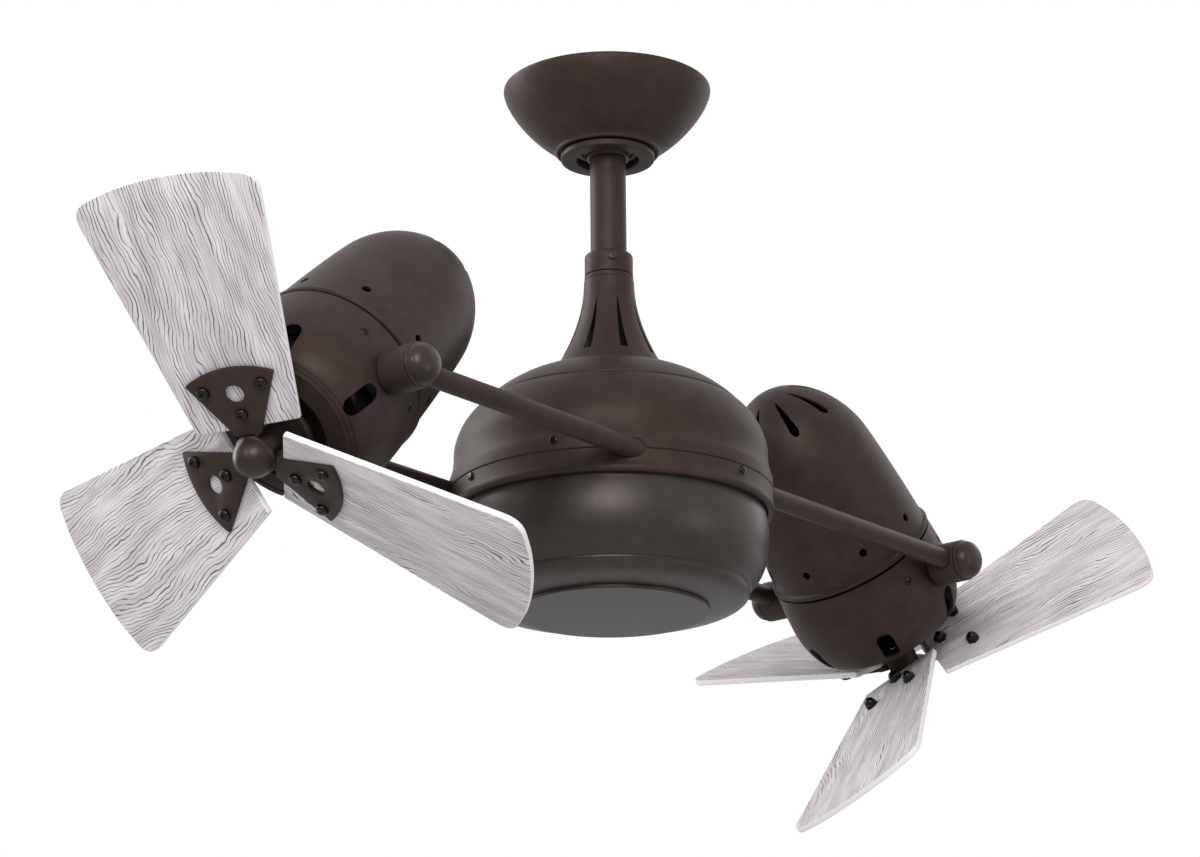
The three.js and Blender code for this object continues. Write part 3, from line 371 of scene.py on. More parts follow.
def screwHead(radius, height, recess="cross", facets=32):
    # a pan head, face at +Z, with its seat at Z = 0
    profile = [(0, 0), (radius, 0), (radius, height * 0.3)]
    profile += bezierPoints((radius, height * 0.3), (radius * 0.96, height), (radius * 0.45, height),
                            steps=6)[1:] + [(0, height)]
    head = spun(profile, facets)
    arm, depth = radius * 0.8, height * 0.4
    bar = rounded([(-arm / 2, -radius * 0.08), (arm / 2, -radius * 0.08),
                   (arm / 2, radius * 0.08), (-arm / 2, radius * 0.08)])
    tool = prism(bar, height - depth, height + 1)
    if recess == "cross":
        tool = combined(tool, placed(prism(bar, height - depth, height + 1), turn(90)), "UNION")
    return combined(head, tool)


# ------------------------------------------------------------ ceiling mount

bracketSizes = {
    "plate": (118, 40), "steel": 2.6, "corner": 6, "slots": 89, "slot": (12, 5),
    "legAt": 32.5, "legWidth": 24, "seatDepth": 48, "seat": (28.2, 32.2), "mouth": 27.4,
}


def makeBracket(size):
    halfX, halfY = size["plate"][0] / 2, size["plate"][1] / 2
    steel, corner = size["steel"], size["corner"]
    outline = rounded([(-halfX, -halfY + corner), (-halfX, -halfY, corner), (halfX, -halfY, corner),
                       (halfX, halfY, corner), (-halfX, halfY, corner), (-halfX, 0)])
    plate = softened(prism(outline, -steel, 0), 0.3)
    slots = copied(prism(slotOutline(*size["slot"]), -steel - 1, 1),
                   *[[move(side * size["slots"] / 2)] for side in (-1, 1)])
    plate = combined(plate, slots)
    seatLow = -size["seatDepth"]
    inner, outer = size["seat"]
    seat = spun(rounded([(inner, seatLow + 1), (inner, seatLow, 0.4), (outer, seatLow, 0.4),
                         (outer, seatLow + steel, 0.4), (inner, seatLow + steel, 0.4),
                         (inner, seatLow + 1)]), 96, closed=False)
    mouth = placed(prism([(-1, -1), (1, -1), (1, 0), (-1, 0)], -1, 1),
                   Matrix.Diagonal((size["mouth"] / 2, outer + 4, 4, 1)), move(0, 0, seatLow + steel / 2))
    seat = combined(seat, mouth)
    parts = [plate, seat]
    for side in (-1, 1):
        leg = prism(rounded([(size["legAt"] - steel, -steel), (size["legAt"], -steel, 0.4),
                             (size["legAt"], seatLow, 0.4), (size["legAt"] - steel, seatLow)]),
                    -size["legWidth"] / 2, size["legWidth"] / 2)
        leg = placed(leg, turn(90, "X"))
        if side < 0:
            leg = placed(leg, turn(180))
        parts.append(leg)
    return joined(*parts)


finished("ceiling_bracket", makeBracket(bracketSizes), zincPlate, "ceiling_mount",
         ["hanger_bracket"])

canopySizes = {"rim": 73.7, "top": -0.8, "wall": 1.2, "base": 37, "under": -49.8, "hole": 24.5, "lip": 1.5,
               "screw": (3.5, 2.0), "screwAt": 27.65, "screwSeat": -50.2}


def makeCanopy(size):
    lip = (size["base"] - size["lip"], size["under"] + size["lip"])
    profile = [(size["rim"] - 1, size["top"]), (size["rim"] - 0.2, size["top"] - 0.5)]
    profile += bezierPoints((size["rim"], size["top"] - 2.2), (size["rim"] - 1.6, -13.5),
                            (size["rim"] * 0.78, -34), (size["base"] + 0.6, size["under"] + 3.2), steps=20)
    profile += arcPoints(lip, size["lip"], 20, -110, 6)
    profile += [(size["base"] - 3.2, size["under"] + 1.3), (size["hole"], size["under"] + 1.3)]
    return walled(profile, size["wall"], 144)


finished("canopy_cover", makeCanopy(canopySizes), texturedBronze, "ceiling_mount", ["canopy"])

trimSizes = {"outer": 33.2, "hole": 22.1, "top": -50.1, "bottom": -54.8, "wall": 1.1}


def makeTrim(size):
    return walled(rounded([(size["outer"] - 0.5, size["top"]), (size["outer"], size["top"] - 0.6),
                           (size["outer"], size["bottom"], 1.2), (size["hole"], size["bottom"], 1.0),
                           (size["hole"], size["top"])]), size["wall"], 128)


finished("canopy_trim", makeTrim(trimSizes), texturedBronze, "ceiling_mount", ["trim_ring"])



def makeCanopyScrews(size):
    placings = [[turn(180, "X"), move(side * size["screwAt"], 0, size["screwSeat"])] for side in (-1, 1)]
    return copied(screwHead(*size["screw"]), *placings)


finished("canopy_screw_heads", makeCanopyScrews(canopySizes), zincPlate, "ceiling_mount",
         ["canopy_screw_1", "canopy_screw_2"])
print("ceiling mount made")

# ------------------------------------------------------------ hanging rod

ballSizes = {"radius": 27, "centre": -30, "top": 13, "bore": 13, "lip": 15.4}
pinSizes = {"radius": 3, "half": 21, "height": -26, "hole": 3.3}
rodSizes = {"radius": 12.7, "wall": 2, "top": -19, "bottom": -136.2}
collarSizes = {"radius": 17, "top": -125.6, "bottom": -142, "screw": 3.6, "screwAt": -131.6, "azimuth": -131}


def makeBall(size):
    low = -math.degrees(math.acos((size["lip"] + 0.6) / size["radius"]))
    high = math.degrees(math.asin(size["top"] / size["radius"]))
    profile = [(size["bore"], size["centre"])]
    profile += [(size["bore"], size["centre"] - 24), (size["lip"] - 0.5, size["centre"] - 24),
                (size["lip"], size["centre"] - 23.4)]
    profile += arcPoints((0, size["centre"]), size["radius"], low, high, 28)
    profile += [(size["bore"] + 0.5, size["centre"] + size["top"]),
                (size["bore"], size["centre"] + size["top"] - 0.5)]
    ball = spun(profile, 112, closed=True)
    groove = placed(prism(rounded([(-3.3, 0.7), (-3.3, 0.6), (3.3, 0.6), (3.3, 20), (-3.3, 20)]), -28, 28),
                    turn(90, "X"), move(0, 0, size["centre"]))
    return combined(ball, groove)


def makeRod(size):
    inner = size["radius"] - size["wall"]
    profile = rounded([(inner, 0), (inner, size["bottom"], 0.4), (size["radius"], size["bottom"], 0.4),
                       (size["radius"], size["top"], 0.4), (inner, size["top"], 0.4), (inner, 0 - 30)])
    tube = spun(profile[1:-1], 96, closed=True)
    hole = placed(cylinderTool(pinSizes["hole"], -20, 20), turn(90, "X"), move(0, 0, pinSizes["height"]))
    return combined(tube, hole)


def makePin(size):
    radius, half = size["radius"], size["half"]
    pin = spun(rounded([(0, -half), (radius, -half, 0.6), (radius, half, 0.6), (0, half)]), 32)
    return placed(pin, turn(90, "X"), move(0, 0, size["height"]))


finished("ball", makeBall(ballSizes), satinBronze, "hanging_rod", ["hanger_ball"])
finished("ball_pin_round", makePin(pinSizes), zincPlate, "hanging_rod", ["ball_pin"])
finished("rod_tube", makeRod(rodSizes), texturedBronze, "hanging_rod", ["downrod"])


def makeCollar(size):
    profile = rounded([(13, size["top"]), (14.6, size["top"], 0.5), (16.4, size["top"] - 1.2, 0.8),
                       (size["radius"], size["top"] - 2.8, 0.8), (size["radius"], size["bottom"], 0.7),
                       (8.3, size["bottom"])])
    return spun(profile + [(8.3, size["bottom"] + 3.2), (13, size["bottom"] + 3.2)], 112, closed=True)


finished("collar", makeCollar(collarSizes), texturedBronze, "hanging_rod", ["rod_collar"])
setScrew = placed(screwHead(collarSizes["screw"], 1.5, "slot"), turn(35), turn(90, "Y"),
                  move(collarSizes["radius"] - 0.25, 0, collarSizes["screwAt"]), turn(collarSizes["azimuth"]))
finished("collar_screw", setScrew, satinBronze, "hanging_rod")
print("hanging rod made")

# ------------------------------------------------------------ turning centre body

neckSizes = {"top": -142.4, "base": -214.3, "lip": 17.2, "topRadius": 17.6, "baseRadius": 39.7, "wall": 1.3,
             "slots": 8, "slotAngle": 11.5, "slotTop": -163, "slotBottom": -204, "slotWidth": 5.8,
             # the near-black sleeve behind the slots is painted shade for the inside of the neck
             "shadeSleeve": ((14.2, -150), (14.6, -168), (17.2, -184), (21.6, -199.8))}
housingSizes = {"top": -214.4, "topRadius": 40.2, "crease": (90, -240.3), "dome": 109, "band": 112,
                "wall": 1.4}
rodPlaces = {"offset": 79.8, "hole": 7.45, "radius": 7.15, "end": 291.7}
ringSizes = {"low": -318.2, "lip": 108.3}
bowlSizes = {"rim": 107.2, "top": -314.7, "widest": 109.3, "ridge": 95.5, "ridgeAt": -370.4,
             "floor": -384, "hole": 61.1}
discSizes = {"radius": 67.1, "top": -384.3, "thickness": 2.3, "spigot": 59}
seam = rodHeight


def makeNeck(size):
    # a narrow lip over a fine groove, then the flare
    lip, top = size["lip"], size["top"]
    profile = [(lip - 2.6, top), (lip - 0.5, top), (lip, top - 0.5), (lip, top - 2.8),
               (lip - 0.25, top - 3.4)]
    profile += bezierPoints((size["topRadius"], top - 4), (size["topRadius"] + 0.2, (top + size["base"]) / 2),
                            (size["baseRadius"], size["base"]), steps=20)
    bell = walled(profile, size["wall"], 144)
    half = size["slotWidth"] / 2
    wedge = rounded([(-0.35, size["slotTop"]), (0.35, size["slotTop"]), (half, size["slotBottom"], 0.9),
                     (-half, size["slotBottom"], 0.9), (-0.35, size["slotTop"])])
    slot = placed(prism(wedge[:-1], 12, size["baseRadius"] + 4), turn(90, "X"))
    spacing = 360 / size["slots"]
    tools = copied(slot, *[[turn(90 + size["slotAngle"] + i * spacing)] for i in range(size["slots"])])
    return combined(bell, tools)


def makeNeckShadeSleeve(size):
    # a near-black sleeve behind the slots, as painted shade: it makes the inside of the neck read dark
    return walled(bezierPoints(*size["shadeSleeve"], steps=12), 1.0, 96)


def rodHoleTools():
    return copied(placed(cylinderTool(rodPlaces["hole"], -130, 130, 48), turn(90, "Y")),
                  *[[move(0, side * rodPlaces["offset"], rodHeight)] for side in (-1, 1)])


def makeHousing(size):
    across, height = size["crease"]
    dome, band = size["dome"], size["band"]
    profile = [(size["topRadius"] - 6, size["top"]), (size["topRadius"] - 0.4, size["top"])]
    profile += bezierPoints((size["topRadius"], size["top"] - 0.4), (across - 33, height + 24),
                            (across - 14, height + 14), (across - 0.1, height + 0.5), steps=16)
    # the crease is an upright step of 1 mm that catches the light
    profile += [(across, height + 0.4)]
    profile += bezierPoints((across + 0.05, height - 0.5), (dome - 10.5, height - 6.5),
                            (dome - 2, height - 17.5), (dome, height - 32.5), steps=16)
    profile += bezierPoints((dome, height - 32.5), (dome, seam + 14), (band - 1.2, seam + 12.5),
                            (band, seam + 8), steps=12)[1:]
    profile += [(band, seam + 0.75), (band - 0.4, seam + 0.15)]
    return combined(walled(profile, size["wall"], 192), rodHoleTools())


def makeLowerRing(size):
    band = housingSizes["band"]
    profile = [(band - 0.4, seam - 0.15), (band, seam - 0.6), (band + 0.1, size["low"] + 6.2)]
    profile += bezierPoints((band + 0.1, size["low"] + 6.2), (band + 1.6, size["low"] + 3.4),
                            (band + 1.2, size["low"] + 0.2), (band - 1.6, size["low"]), steps=8)[1:]
    profile += [(size["lip"], size["low"] + 0.2)]
    return combined(walled(profile, 1.3, 192), rodHoleTools())


def makeBowl(size):
    rim, widest, ridge, ridgeAt = size["rim"], size["widest"], size["ridge"], size["ridgeAt"]
    profile = [(rim, size["top"])]
    profile += bezierPoints((rim, ringSizes["low"] - 1), (widest + 1.2, ringSizes["low"] - 18),
                            (widest + 0.4, ridgeAt + 14), (ridge + 1.6, ridgeAt + 1.8), steps=22)
    # a fine groove under the ridge
    profile += [(ridge + 0.9, ridgeAt + 0.3), (ridge + 0.5, ridgeAt - 0.2), (ridge - 0.9, ridgeAt - 1.1),
                (ridge - 0.9, ridgeAt - 2.1)]
    profile += bezierPoints((ridge - 0.4, ridgeAt - 2.8), (ridge - 1.3, ridgeAt - 8.5),
                            (ridge - 11, ridgeAt - 10.7), steps=8)
    profile += [(discSizes["radius"] + 0.6, size["floor"]), (size["hole"], size["floor"])]
    return walled(profile, 1.3, 192)


def makeDisc(size):
    low = size["top"] - size["thickness"]
    return spun(rounded([(0, low - 0.3), (size["radius"] - 2, low - 0.1), (size["radius"], low, 0.9),
                         (size["radius"], size["top"]), (size["spigot"], size["top"]),
                         (size["spigot"], size["top"] + 1.8), (0, size["top"] + 1.8)]), 160)


finished("neck_bell", makeNeck(neckSizes), texturedBronze, "rotating_body", ["neck_cover"])
# a near-black sleeve standing in for the shade inside the neck, behind the slots
finished("neck_shade_sleeve", makeNeckShadeSleeve(neckSizes), mouldedNylon, "rotating_body")
finished("dome_housing", makeHousing(housingSizes), texturedBronze, "rotating_body",
         ["upper_housing"], 24)
finished("band_ring", makeLowerRing(ringSizes), texturedBronze, "rotating_body",
         ["lower_ring"])
finished("bowl", makeBowl(bowlSizes), gunmetalCoat, "rotating_body", ["bowl_cover"])
finished("bowl_disc", makeDisc(discSizes), gunmetalCoat, "rotating_body", ["blanking_disc"])

bodyScrews = {"screw": (3.0, 1.6), "upperAt": -294.5, "upper": (-161, 19), "lowerAt": -305.5,
              "lower": (161, -88.5, 91.5, -19)}


def onBody(azimuth, height, radius):
    return [turn(90, "Y"), move(radius, 0, height), turn(azimuth)]


def makeBodyScrews(size):
    band = housingSizes["band"]
    placings = [onBody(azimuth, size["upperAt"], band - 0.4) for azimuth in size["upper"]]
    placings += [onBody(azimuth, size["lowerAt"], band - 0.2) for azimuth in size["lower"]]
    return copied(screwHead(*size["screw"]), *placings)


finished("housing_screws", makeBodyScrews(bodyScrews), blackOxide, "rotating_body")


def makeSupportRod(side):
    inner = rodPlaces["radius"] - 1.6
    end = rodPlaces["end"]
    tube = spun(rounded([(inner, 0), (inner, -end, 0.3), (rodPlaces["radius"], -end, 0.4),
                         (rodPlaces["radius"], end, 0.4), (inner, end, 0.3), (inner, 0)])[1:-1],
                64, closed=True)
    return placed(tube, turn(90, "Y"), move(0, side * rodPlaces["offset"], rodHeight))


for name, side in (("front", -1), ("rear", 1)):
    finished("rod_" + name, makeSupportRod(side), texturedBronze, "rotating_body",
             ["support_rod_" + name])

bossSizes = {"radius": 15, "face": 65.7, "length": 22.9, "cap": 12, "bore": 6.3}


def makeBoss(size):
    low, high = size["face"], size["face"] + size["length"]
    body = spun(rounded([(size["bore"], low + 1), (size["bore"], low, 0.3), (size["radius"], low, 1.0),
                         (size["radius"], high, 0.5), (size["bore"], high, 0.3),
                         (size["bore"], high - 1)]), 96, closed=True)
    socket = placed(cylinderTool(rodPlaces["radius"] + 0.25, 8, 30, 48), turn(-90, "Y"),
                    move(0, 0, rodPlaces["offset"]))
    return placed(combined(body, socket), turn(-90, "X"))


def makeBossCap(size):
    base = size["face"] + size["length"] + 0.3
    rim = size["radius"] - 0.1
    profile = [(0, base), (rim - 0.4, base), (rim, base + 0.5), (rim, base + 1.3), (rim - 0.5, base + 1.8)]
    apex = base + size["cap"]
    profile += bezierPoints((rim - 0.9, base + 1.9), (rim - 1.2, base + 9.2), (rim * 0.52, apex), (0, apex),
                            steps=14)
    return placed(spun(profile, 96), turn(-90, "X"))


def pivotPlace(end):
    pivot = Vector(joints["head_tilt_" + end]["pos_m"])
    return [turn(0 if end == "a" else 180), Matrix.Translation(pivot)]


for end in "ab":
    for number, side in ((1, 1), (2, -1)):
        mirror = [Matrix.Diagonal((1, side, 1, 1))]
        name = end + str(number)
        finished("boss_" + name, placed(makeBoss(bossSizes), *mirror, *pivotPlace(end)), texturedBronze,
                 "rotating_body", ["pivot_boss_" + name])
        finished("cap_" + name, placed(makeBossCap(bossSizes), *mirror, *pivotPlace(end)), satinBronze,
                 "rotating_body", ["boss_cap_" + name])
print("centre body made")

# ------------------------------------------------------------ fan heads

headSizes = {
    "tail": -167, "waist": 53.6, "seam": -23.1, "seamRadius": 62.6, "widest": 64.2, "front": 47.5,
    "face": 50.6, "opening": 34, "wall": 1.6, "tilt": 45,
    "holes": 8, "holeAt": -44, "holeRadius": 3.1,
    "tailVents": 8, "ventFrom": 17, "ventTo": 41.6, "ventRadius": 3.3,
    "frontVents": 6, "frontVent": (27, 12.4), "frontVentAt": 33, "frontVentLean": -62, "trunnion": 9.3,
    "screws": (27, -27, 207, 153), "screw": (3.4, 1.6), "screwAt": -7, "screwRadius": 62.9,
}
cradleSizes = {"inner": 49.9, "outer": 61, "low": -12, "high": 10, "stub": 9, "stubFrom": 57, "journal": 6,
               "shoulder": 65.4, "end": 84.6}
statorSizes = {"shaft": 5.4, "can": 49.6, "well": 26, "low": -33, "high": 27, "floor": -29}


def inHead(end):
    # Z towards the blades, Y along the tilt axis
    return [turn(90 + headSizes["tilt"], "Y"), *pivotPlace(end)]


def teardrop(start, end, radius, tip):
    arc = arcPoints((0, end - radius), radius, 0, 180, 14)
    return [(tip / 2, start + tip / 2)] + arc + [(-tip / 2, start + tip / 2), (0, start)]


def makeRearShell(size):
    tail, waist, seamAt = size["tail"], size["waist"], size["seam"]
    profile = bezierPoints((0, tail), (waist * 0.5, tail), (waist * 0.915, tail + 29), (waist, tail + 57),
                           steps=26)
    # a groove and a rolled bead along the seam
    edge = size["seamRadius"] - 1.4
    profile += bezierPoints((waist, tail + 57), (waist + 4, tail + 85), (edge, seamAt - 8), steps=12)[1:]
    profile += [(edge + 0.1, seamAt - 6)]
    profile += arcPoints((edge, seamAt - 3.2), 2.2, -70, 75, 10)
    shell = walled(profile, size["wall"], 160)
    vent = prism(teardrop(size["ventFrom"], size["ventTo"], size["ventRadius"], 1.6), tail - 4, tail + 60)
    tools = copied(vent, *[[turn(i * 360 / size["tailVents"])] for i in range(size["tailVents"])])
    hole = placed(cylinderTool(size["holeRadius"], 50, 70, 24), turn(-90, "X"), move(0, 0, size["holeAt"]))
    holes = copied(hole, *[[turn(i * 360 / size["holes"])] for i in range(size["holes"])])
    return combined(combined(shell, tools), holes)


def makeFrontShell(size):
    front, face, widest, opening = size["front"], size["face"], size["widest"], size["opening"]
    start = size["seam"] + 0.3
    profile = [(size["seamRadius"] - 0.5, start)]
    profile += bezierPoints((size["seamRadius"], start + 0.4), (widest + 0.4, -2), (widest, 12), steps=8)
    profile += bezierPoints((widest, 12), (widest - 0.6, front - 21), (face + 8, front - 9),
                            (face + 3.2, front - 4.6), steps=16)[1:]
    # two fine grooves, then the dished face round the opening
    profile += [(face + 2.5, front - 4.9), (face + 1.9, front - 4.2), (face + 0.4, front - 3.0),
                (face - 0.3, front - 3.3), (face - 0.9, front - 2.5), (face - 2.2, front - 1.6),
                (face - 2.8, front - 2.2), (face - 3.6, front - 1.9),
                (opening + 1.2, front - 0.2), (opening, front - 0.8), (opening, front - 3)]
    shell = walled(profile, size["wall"], 160)
    vent = placed(prism(slotOutline(*size["frontVent"]), -10, 12), turn(90),
                  turn(size["frontVentLean"], "X"), move(0, 59, size["frontVentAt"] - 2))
    tools = copied(vent, *[[turn(i * 360 / size["frontVents"])] for i in range(size["frontVents"])])
    trunnions = placed(cylinderTool(size["trunnion"], -75, 75, 48), turn(90, "X"))
    return combined(combined(shell, tools), trunnions)


def makeCradle(size):
    inner, outer, low, high = size["inner"], size["outer"], size["low"], size["high"]
    hoop = spun(rounded([(inner, low), (outer, low, 1.5), (outer, high, 1.5), (inner, high)]), 96,
                closed=True)
    root, stub, journal = size["stubFrom"], size["stub"], size["journal"]
    shoulder, end = size["shoulder"], size["end"]
    trunnion = spun(rounded([(0, root), (stub, root), (stub, shoulder, 0.6), (journal, shoulder, 0.3),
                             (journal, end, 1.0), (0, end)]), 48)
    return joined(hoop, copied(trunnion, [turn(90, "X")], [turn(-90, "X")]))


def makeStator(size):
    shaft, can, well = size["shaft"], size["can"], size["well"]
    low, high, floor = size["low"], size["high"], size["floor"]
    return spun(rounded([(shaft, low), (can, low, 3), (can, high, 2), (well, high, 0.8), (well, floor),
                         (shaft, floor)]), 96, closed=True)


def headScrews(size):
    head = placed(screwHead(*size["screw"]), turn(-90, "X"), move(0, size["screwRadius"], size["screwAt"]))
    return copied(head, *[[turn(angle)] for angle in size["screws"]])


for end in "ab":
    body = "head_" + end
    finished("tail_shell_" + end, placed(makeRearShell(headSizes), *inHead(end)), texturedBronze, body,
             ["rear_shell_" + end])
    finished("face_shell_" + end, placed(makeFrontShell(headSizes), *inHead(end)), texturedBronze, body,
             ["front_shell_" + end])
    finished("cradle_" + end, placed(makeCradle(cradleSizes), *inHead(end)), castIron, body,
             ["motor_cradle_" + end])
    finished("stator_" + end, placed(makeStator(statorSizes), *inHead(end)), motorVarnish, body,
             ["motor_stator_" + end])
    finished("shell_screws_" + end, placed(headScrews(headSizes), *inHead(end)), blackOxide, body)
print("heads made")

# ------------------------------------------------------------ rotors

bladeSizes = {"count": 3, "plane": 72.2, "pitch": 17, "thickness": 4.6, "root": 18.9, "tip": 196,
              "rootWidth": 69.6, "tipWidth": 124.4, "corner": 13, "phase": {"a": 17.3, "b": 77.7}}
fanPlateSizes = {"steel": 3, "outer": 63, "outerWidth": 59.6, "root": 15.3, "rootWidth": 17, "under": 0.3,
                 "riser": 7.8, "footEnd": 25.2, "footSteel": 3.4, "hole": (44.6, 6.25),
                 "screws": ((-19.5, 49.6), (19.5, 49.6), (0, 30.4)), "screw": (4.3, 3.3), "nut": 5.2,
                 "footScrew": (2.8, 2.2), "footScrewAt": (5, 21.5)}
rotorSizes = {"flange": 27, "flangeLow": 49.5, "flangeHigh": 54, "hub": 9, "shaft": 5, "shaftLow": -37,
              "magnet": 25, "magnetLow": -28, "magnetHigh": 26}
spinnerSizes = {"radius": 14.3, "height": 17, "base": 75.6}


def inStation(end, number):
    angle = bladeSizes["phase"][end] + number * 360 / bladeSizes["count"]
    return [turn(angle), *inHead(end)]


def onBlade(end, number):
    return [turn(bladeSizes["pitch"], "Y"), move(0, 0, bladeSizes["plane"]), *inStation(end, number)]


def bladeOutline(size):
    rootHalf, tipHalf = size["rootWidth"] / 2, size["tipWidth"] / 2
    tipCorner = math.sqrt(size["tip"] ** 2 - tipHalf ** 2)
    cornerAngle = math.degrees(math.asin(tipHalf / size["tip"]))
    inner = cornerAngle - math.degrees(2.1 * size["corner"] / size["tip"])
    arc = arcPoints((0, 0), size["tip"], 90 - inner, 90 + inner, 24)
    corners = rounded([(rootHalf, size["root"]), (tipHalf, tipCorner, size["corner"]), arc[0]], 6)
    mirrored = [(-x, y) for x, y in reversed(corners)]
    return corners[:-1] + arc + mirrored[1:]


def makeBlade(size, shift):
    half = size["thickness"] / 2
    build = softened(prism(bladeOutline(size), -half, half), 1.0, 3, 60)
    # grain coordinates in metres across and along the blade, moved so that no two blades are alike
    layer = build.loops.layers.uv.new("grain")
    band = build.verts.layers.float.new("edgeBand")
    for vert in build.verts:
        vert[band] = 1.0 if abs(vert.co.z) < (half - 0.35) * mm else 0.0
    for face in build.faces:
        for loop in face.loops:
            side = 1 if face.normal.z > 0 else -1
            loop[layer].uv = (loop.vert.co.x * side + shift * 0.31, loop.vert.co.y + shift * 0.47)
    return build


def makeFanPlate(size):
    outerHalf = size["outerWidth"] / 2
    angle = math.degrees(math.asin(outerHalf / size["outer"]))
    arc = arcPoints((0, 0), size["outer"], 90 - angle, 90 + angle, 18)
    rootHalf = size["rootWidth"] / 2
    outline = [(-rootHalf, size["root"]), (rootHalf, size["root"])] + arc
    under = bladeSizes["thickness"] / 2 + size["under"]
    plate = prism(outline, under, under + size["steel"])
    plate = combined(plate, placed(cylinderTool(size["hole"][1], 0, 12, 40), move(0, size["hole"][0])))
    return softened(plate, 0.45, 2, 50)


def makeRiser(size):
    # the plate's root is bent down to a foot on the flange
    footLow = rotorSizes["flangeHigh"] + 0.3
    footHigh, footEnd = footLow + size["footSteel"], size["footEnd"]
    top = bladeSizes["plane"] + bladeSizes["thickness"] / 2 + 1.5
    near, far = size["root"] + 0.2, size["root"] + 3.2
    section = rounded([(near, footLow + 1), (near, footLow, 1.2), (footEnd, footLow, 0.8),
                       (footEnd, footHigh, 0.8), (far, footHigh, 1.5), (far, top), (near, top)])
    riser = placed(prism(section, -size["riser"], size["riser"]), turn(90, "X"), turn(90))
    # its top follows the pitch of the plate
    slope = math.tan(math.radians(bladeSizes["pitch"]))
    for vert in riser.verts:
        if vert.co.z > (top - 1) * mm:
            vert.co.z -= vert.co.x * slope
    return softened(riser, 0.4, 2, 50)


def makeNut(radius):
    corners = [math.radians(60 * i) for i in range(6)]
    flats = [(radius * math.cos(a), radius * math.sin(a)) for a in corners]
    hexagon = softened(prism(flats, -3.2, 0), 0.25)
    dome = spun([(0, -3), (radius * 0.82, -3)] + arcPoints((0, -3.2), radius * 0.8, 0, -90, 8), 32)
    return joined(hexagon, dome)


def makeRotor(size):
    low, high, flange, hub = size["flangeLow"], size["flangeHigh"], size["flange"], size["hub"]
    shaft, shaftLow = size["shaft"], size["shaftLow"]
    magnet, magnetLow, magnetHigh = size["magnet"], size["magnetLow"], size["magnetHigh"]
    hubTop = spinnerSizes["base"] - 0.4
    profile = rounded([
        (0, shaftLow), (shaft, shaftLow, 0.6), (shaft, magnetLow, 0.5), (magnet, magnetLow, 0.5),
        (magnet, magnetHigh, 0.5), (shaft, magnetHigh), (shaft, low - 4), (22, low - 2, 1),
        (flange, low, 0.6), (flange, high, 0.8), (hub + 3, high + 0.4, 0.8), (hub, high + 2.4, 1.2),
        (hub, hubTop, 0.4), (0, hubTop)])
    return spun(profile, 96)


def makeSpinner(size):
    radius, height, base = size["radius"], size["height"], size["base"]
    profile = [(0, base), (radius - 0.5, base), (radius, base + 0.5), (radius, base + 1.6),
               (radius - 0.45, base + 2.1)]
    profile += bezierPoints((radius - 0.6, base + 2.2), (radius - 1.2, base + height * 0.66),
                            (radius * 0.5, base + height), (0, base + height), steps=16)
    return spun(profile, 96)


def makeFixings(size, end, number):
    # pan heads on the fan plate, domed nuts behind the blade
    half = bladeSizes["thickness"] / 2
    plateTop = half + size["under"] + size["steel"]
    station = onBlade(end, number)
    heads = copied(screwHead(*size["screw"]), *[[turn(20 + 37 * i), move(x, y, plateTop - 0.05), *station]
                                                for i, (x, y) in enumerate(size["screws"])])
    nuts = copied(makeNut(size["nut"]), *[[turn(15 * i), move(x, y, -half + 0.05), *station]
                                          for i, (x, y) in enumerate(size["screws"])])
    return joined(heads, nuts)


def makeFootScrews(size, end, number):
    across, outwards = size["footScrewAt"]
    seat = rotorSizes["flangeLow"] + 0.1
    return copied(screwHead(*size["footScrew"]),
                  *[[turn(180, "Y"), move(side * across, outwards, seat), *inStation(end, number)]
                    for side in (-1, 1)])


for end in "ab":
    body = "rotor_" + end
    finished("rotor_core_" + end, placed(makeRotor(rotorSizes), *inHead(end)), texturedBronze, body,
             ["motor_rotor_" + end])
    finished("hub_cap_" + end, placed(makeSpinner(spinnerSizes), *inHead(end)), satinBronze, body,
             ["spinner_" + end])
    for number in range(bladeSizes["count"]):
        name = end + str(number + 1)
        shift = number + (0 if end == "a" else bladeSizes["count"]) + 1
        blade = placed(makeBlade(bladeSizes, shift), *onBlade(end, number))
        finished("barnwood_blade_" + name, blade, barnwood, body, ["blade_" + name], 50)
        plate = placed(makeFanPlate(fanPlateSizes), *onBlade(end, number))
        riser = placed(makeRiser(fanPlateSizes), *inStation(end, number))
        finished("fan_plate_" + name, joined(plate, riser), texturedBronze, body,
                 ["blade_bracket_" + name])
        finished("blade_fixings_" + name, makeFixings(fanPlateSizes, end, number), blackOxide, body)
        finished("foot_screws_" + name, makeFootScrews(fanPlateSizes, end, number), nickelPlate, body)
print("rotors made")

# ------------------------------------------------------------ pieces that stay as they are

hiddenFinishes = {
    "spindle": zincPlate, "spindle_nut": zincPlate, "contact_drum": turnedBrass, "chassis": castIron,
    "brush_block": mouldedNylon, "upper_bearing": zincPlate, "lower_bearing": zincPlate,
}
for node, material in hiddenFinishes.items():
    cadPiece = frame["nodes"][node]
    cadPiece.data.materials.clear()
    cadPiece.data.materials.append(material)

# ------------------------------------------------------------ room, light and camera

stageSizes = {"floor": -2.4, "half": 60.0}


def makeFloor(size):
    build = bmesh.new()
    bmesh.ops.create_grid(build, x_segments=1, y_segments=1, size=size["half"])
    bmesh.ops.translate(build, verts=build.verts, vec=(0, 0, size["floor"]))
    mesh = bpy.data.meshes.new("floor")
    build.to_mesh(mesh)
    build.free()
    floor = bpy.data.objects.new("floor", mesh)
    bpy.context.scene.collection.objects.link(floor)
    paint = newMaterial("pale_floor", **{"Base Color": hexColour("#f4f4f4"), "Roughness": 0.9})[0]
    mesh.materials.append(paint)


makeFloor(stageSizes)

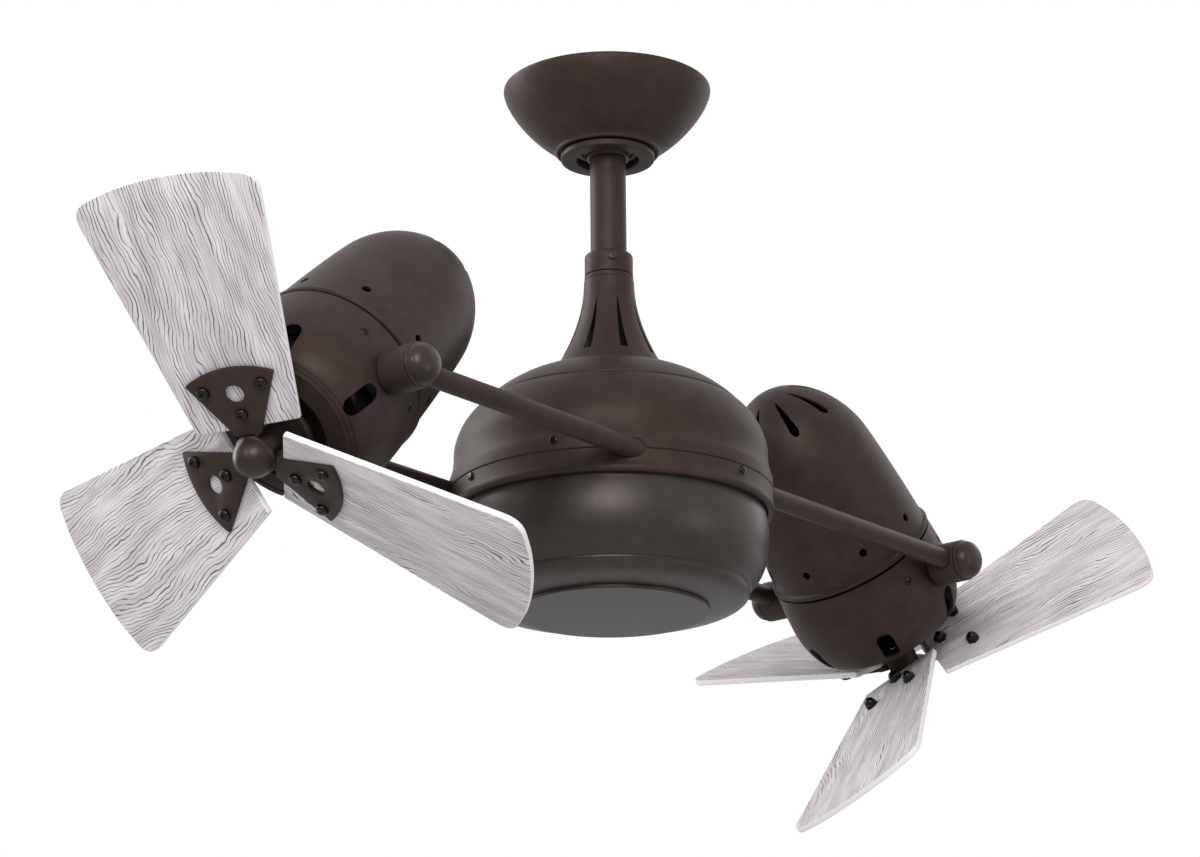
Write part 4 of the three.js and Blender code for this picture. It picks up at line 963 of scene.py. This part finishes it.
worldSizes = {"fill": 0.66}
world = bpy.data.worlds.new("studio")
bpy.context.scene.world = world
world.use_nodes = True
tree = world.node_tree
tree.nodes.clear()
paths = addNode(tree, "ShaderNodeLightPath")
seen = calc(tree, "MAXIMUM", paths.outputs["Is Camera Ray"], paths.outputs["Is Glossy Ray"])
seen = calc(tree, "MAXIMUM", seen, paths.outputs["Is Transmission Ray"])
strength = remap(tree, seen, 0, 1, worldSizes["fill"], 1.0)
background = addNode(tree, "ShaderNodeBackground", {"Color": (1, 1, 1, 1), "Strength": strength})
worldOut = addNode(tree, "ShaderNodeOutputWorld")
tree.links.new(background.outputs[0], worldOut.inputs[0])

photoCamera = {"azimuth": 50.96, "elevation": 17.48, "roll": -0.55, "distance": 2.927,
               "acrossTarget": -0.0073, "heightTarget": -0.2537, "lens": 126.26}


def makeCamera(size):
    a, e = math.radians(size["azimuth"]), math.radians(size["elevation"])
    look = Vector((math.sin(a) * math.cos(e), math.cos(a) * math.cos(e), math.sin(e)))
    right = Vector((math.cos(a), -math.sin(a), 0))
    up = right.cross(look)
    target = Vector((0, 0, size["heightTarget"])) + right * size["acrossTarget"]
    place = target - look * size["distance"]
    roll = math.radians(size["roll"])
    rolledRight = right * math.cos(roll) + up * math.sin(roll)
    rolledUp = up * math.cos(roll) - right * math.sin(roll)
    matrix = Matrix((rolledRight, rolledUp, -look)).transposed().to_4x4()
    matrix.translation = place
    data = bpy.data.cameras.new("camera")
    data.sensor_width = 36
    data.lens = size["lens"]
    data.clip_end = 200
    camera = bpy.data.objects.new("camera", data)
    camera.matrix_world = matrix
    bpy.context.scene.collection.objects.link(camera)
    bpy.context.scene.camera = camera
    return look, right, up


look, right, up = makeCamera(photoCamera)

# softboxes, placed round the fan as seen from the camera: across, up, towards the camera, in metres
softboxes = {
    "leftBack": {"at": (-1.7, 0.5, -0.85), "size": (0.8, 1.6), "power": 24},
    "left": {"at": (-1.3, 1.0, 1.6), "size": (0.35, 0.5), "power": 8},
    "rightLow": {"at": (1.9, 0.1, 1.0), "size": (0.3, 0.6), "power": 4},
    "rightBack": {"at": (1.4, 0.2, -1.5), "size": (0.6, 1.6), "power": 3},
    "front": {"at": (-0.05, 1.3, 2.1), "size": (1.1, 0.8), "power": 38},
}
centre = Vector((0, 0, -0.3))
for name, box in softboxes.items():
    data = bpy.data.lights.new(name, "AREA")
    data.shape = "RECTANGLE"
    data.size, data.size_y = box["size"]
    data.energy = box["power"]
    lamp = bpy.data.objects.new(name, data)
    across, above, forward = box["at"]
    lamp.location = centre + right * across + up * above - look * forward
    lamp.rotation_mode = "QUATERNION"
    lamp.rotation_quaternion = (centre - lamp.location).to_track_quat("-Z", "Y")
    bpy.context.scene.collection.objects.link(lamp)

bpy.context.scene.view_settings.view_transform = "Standard"
print("studio made")
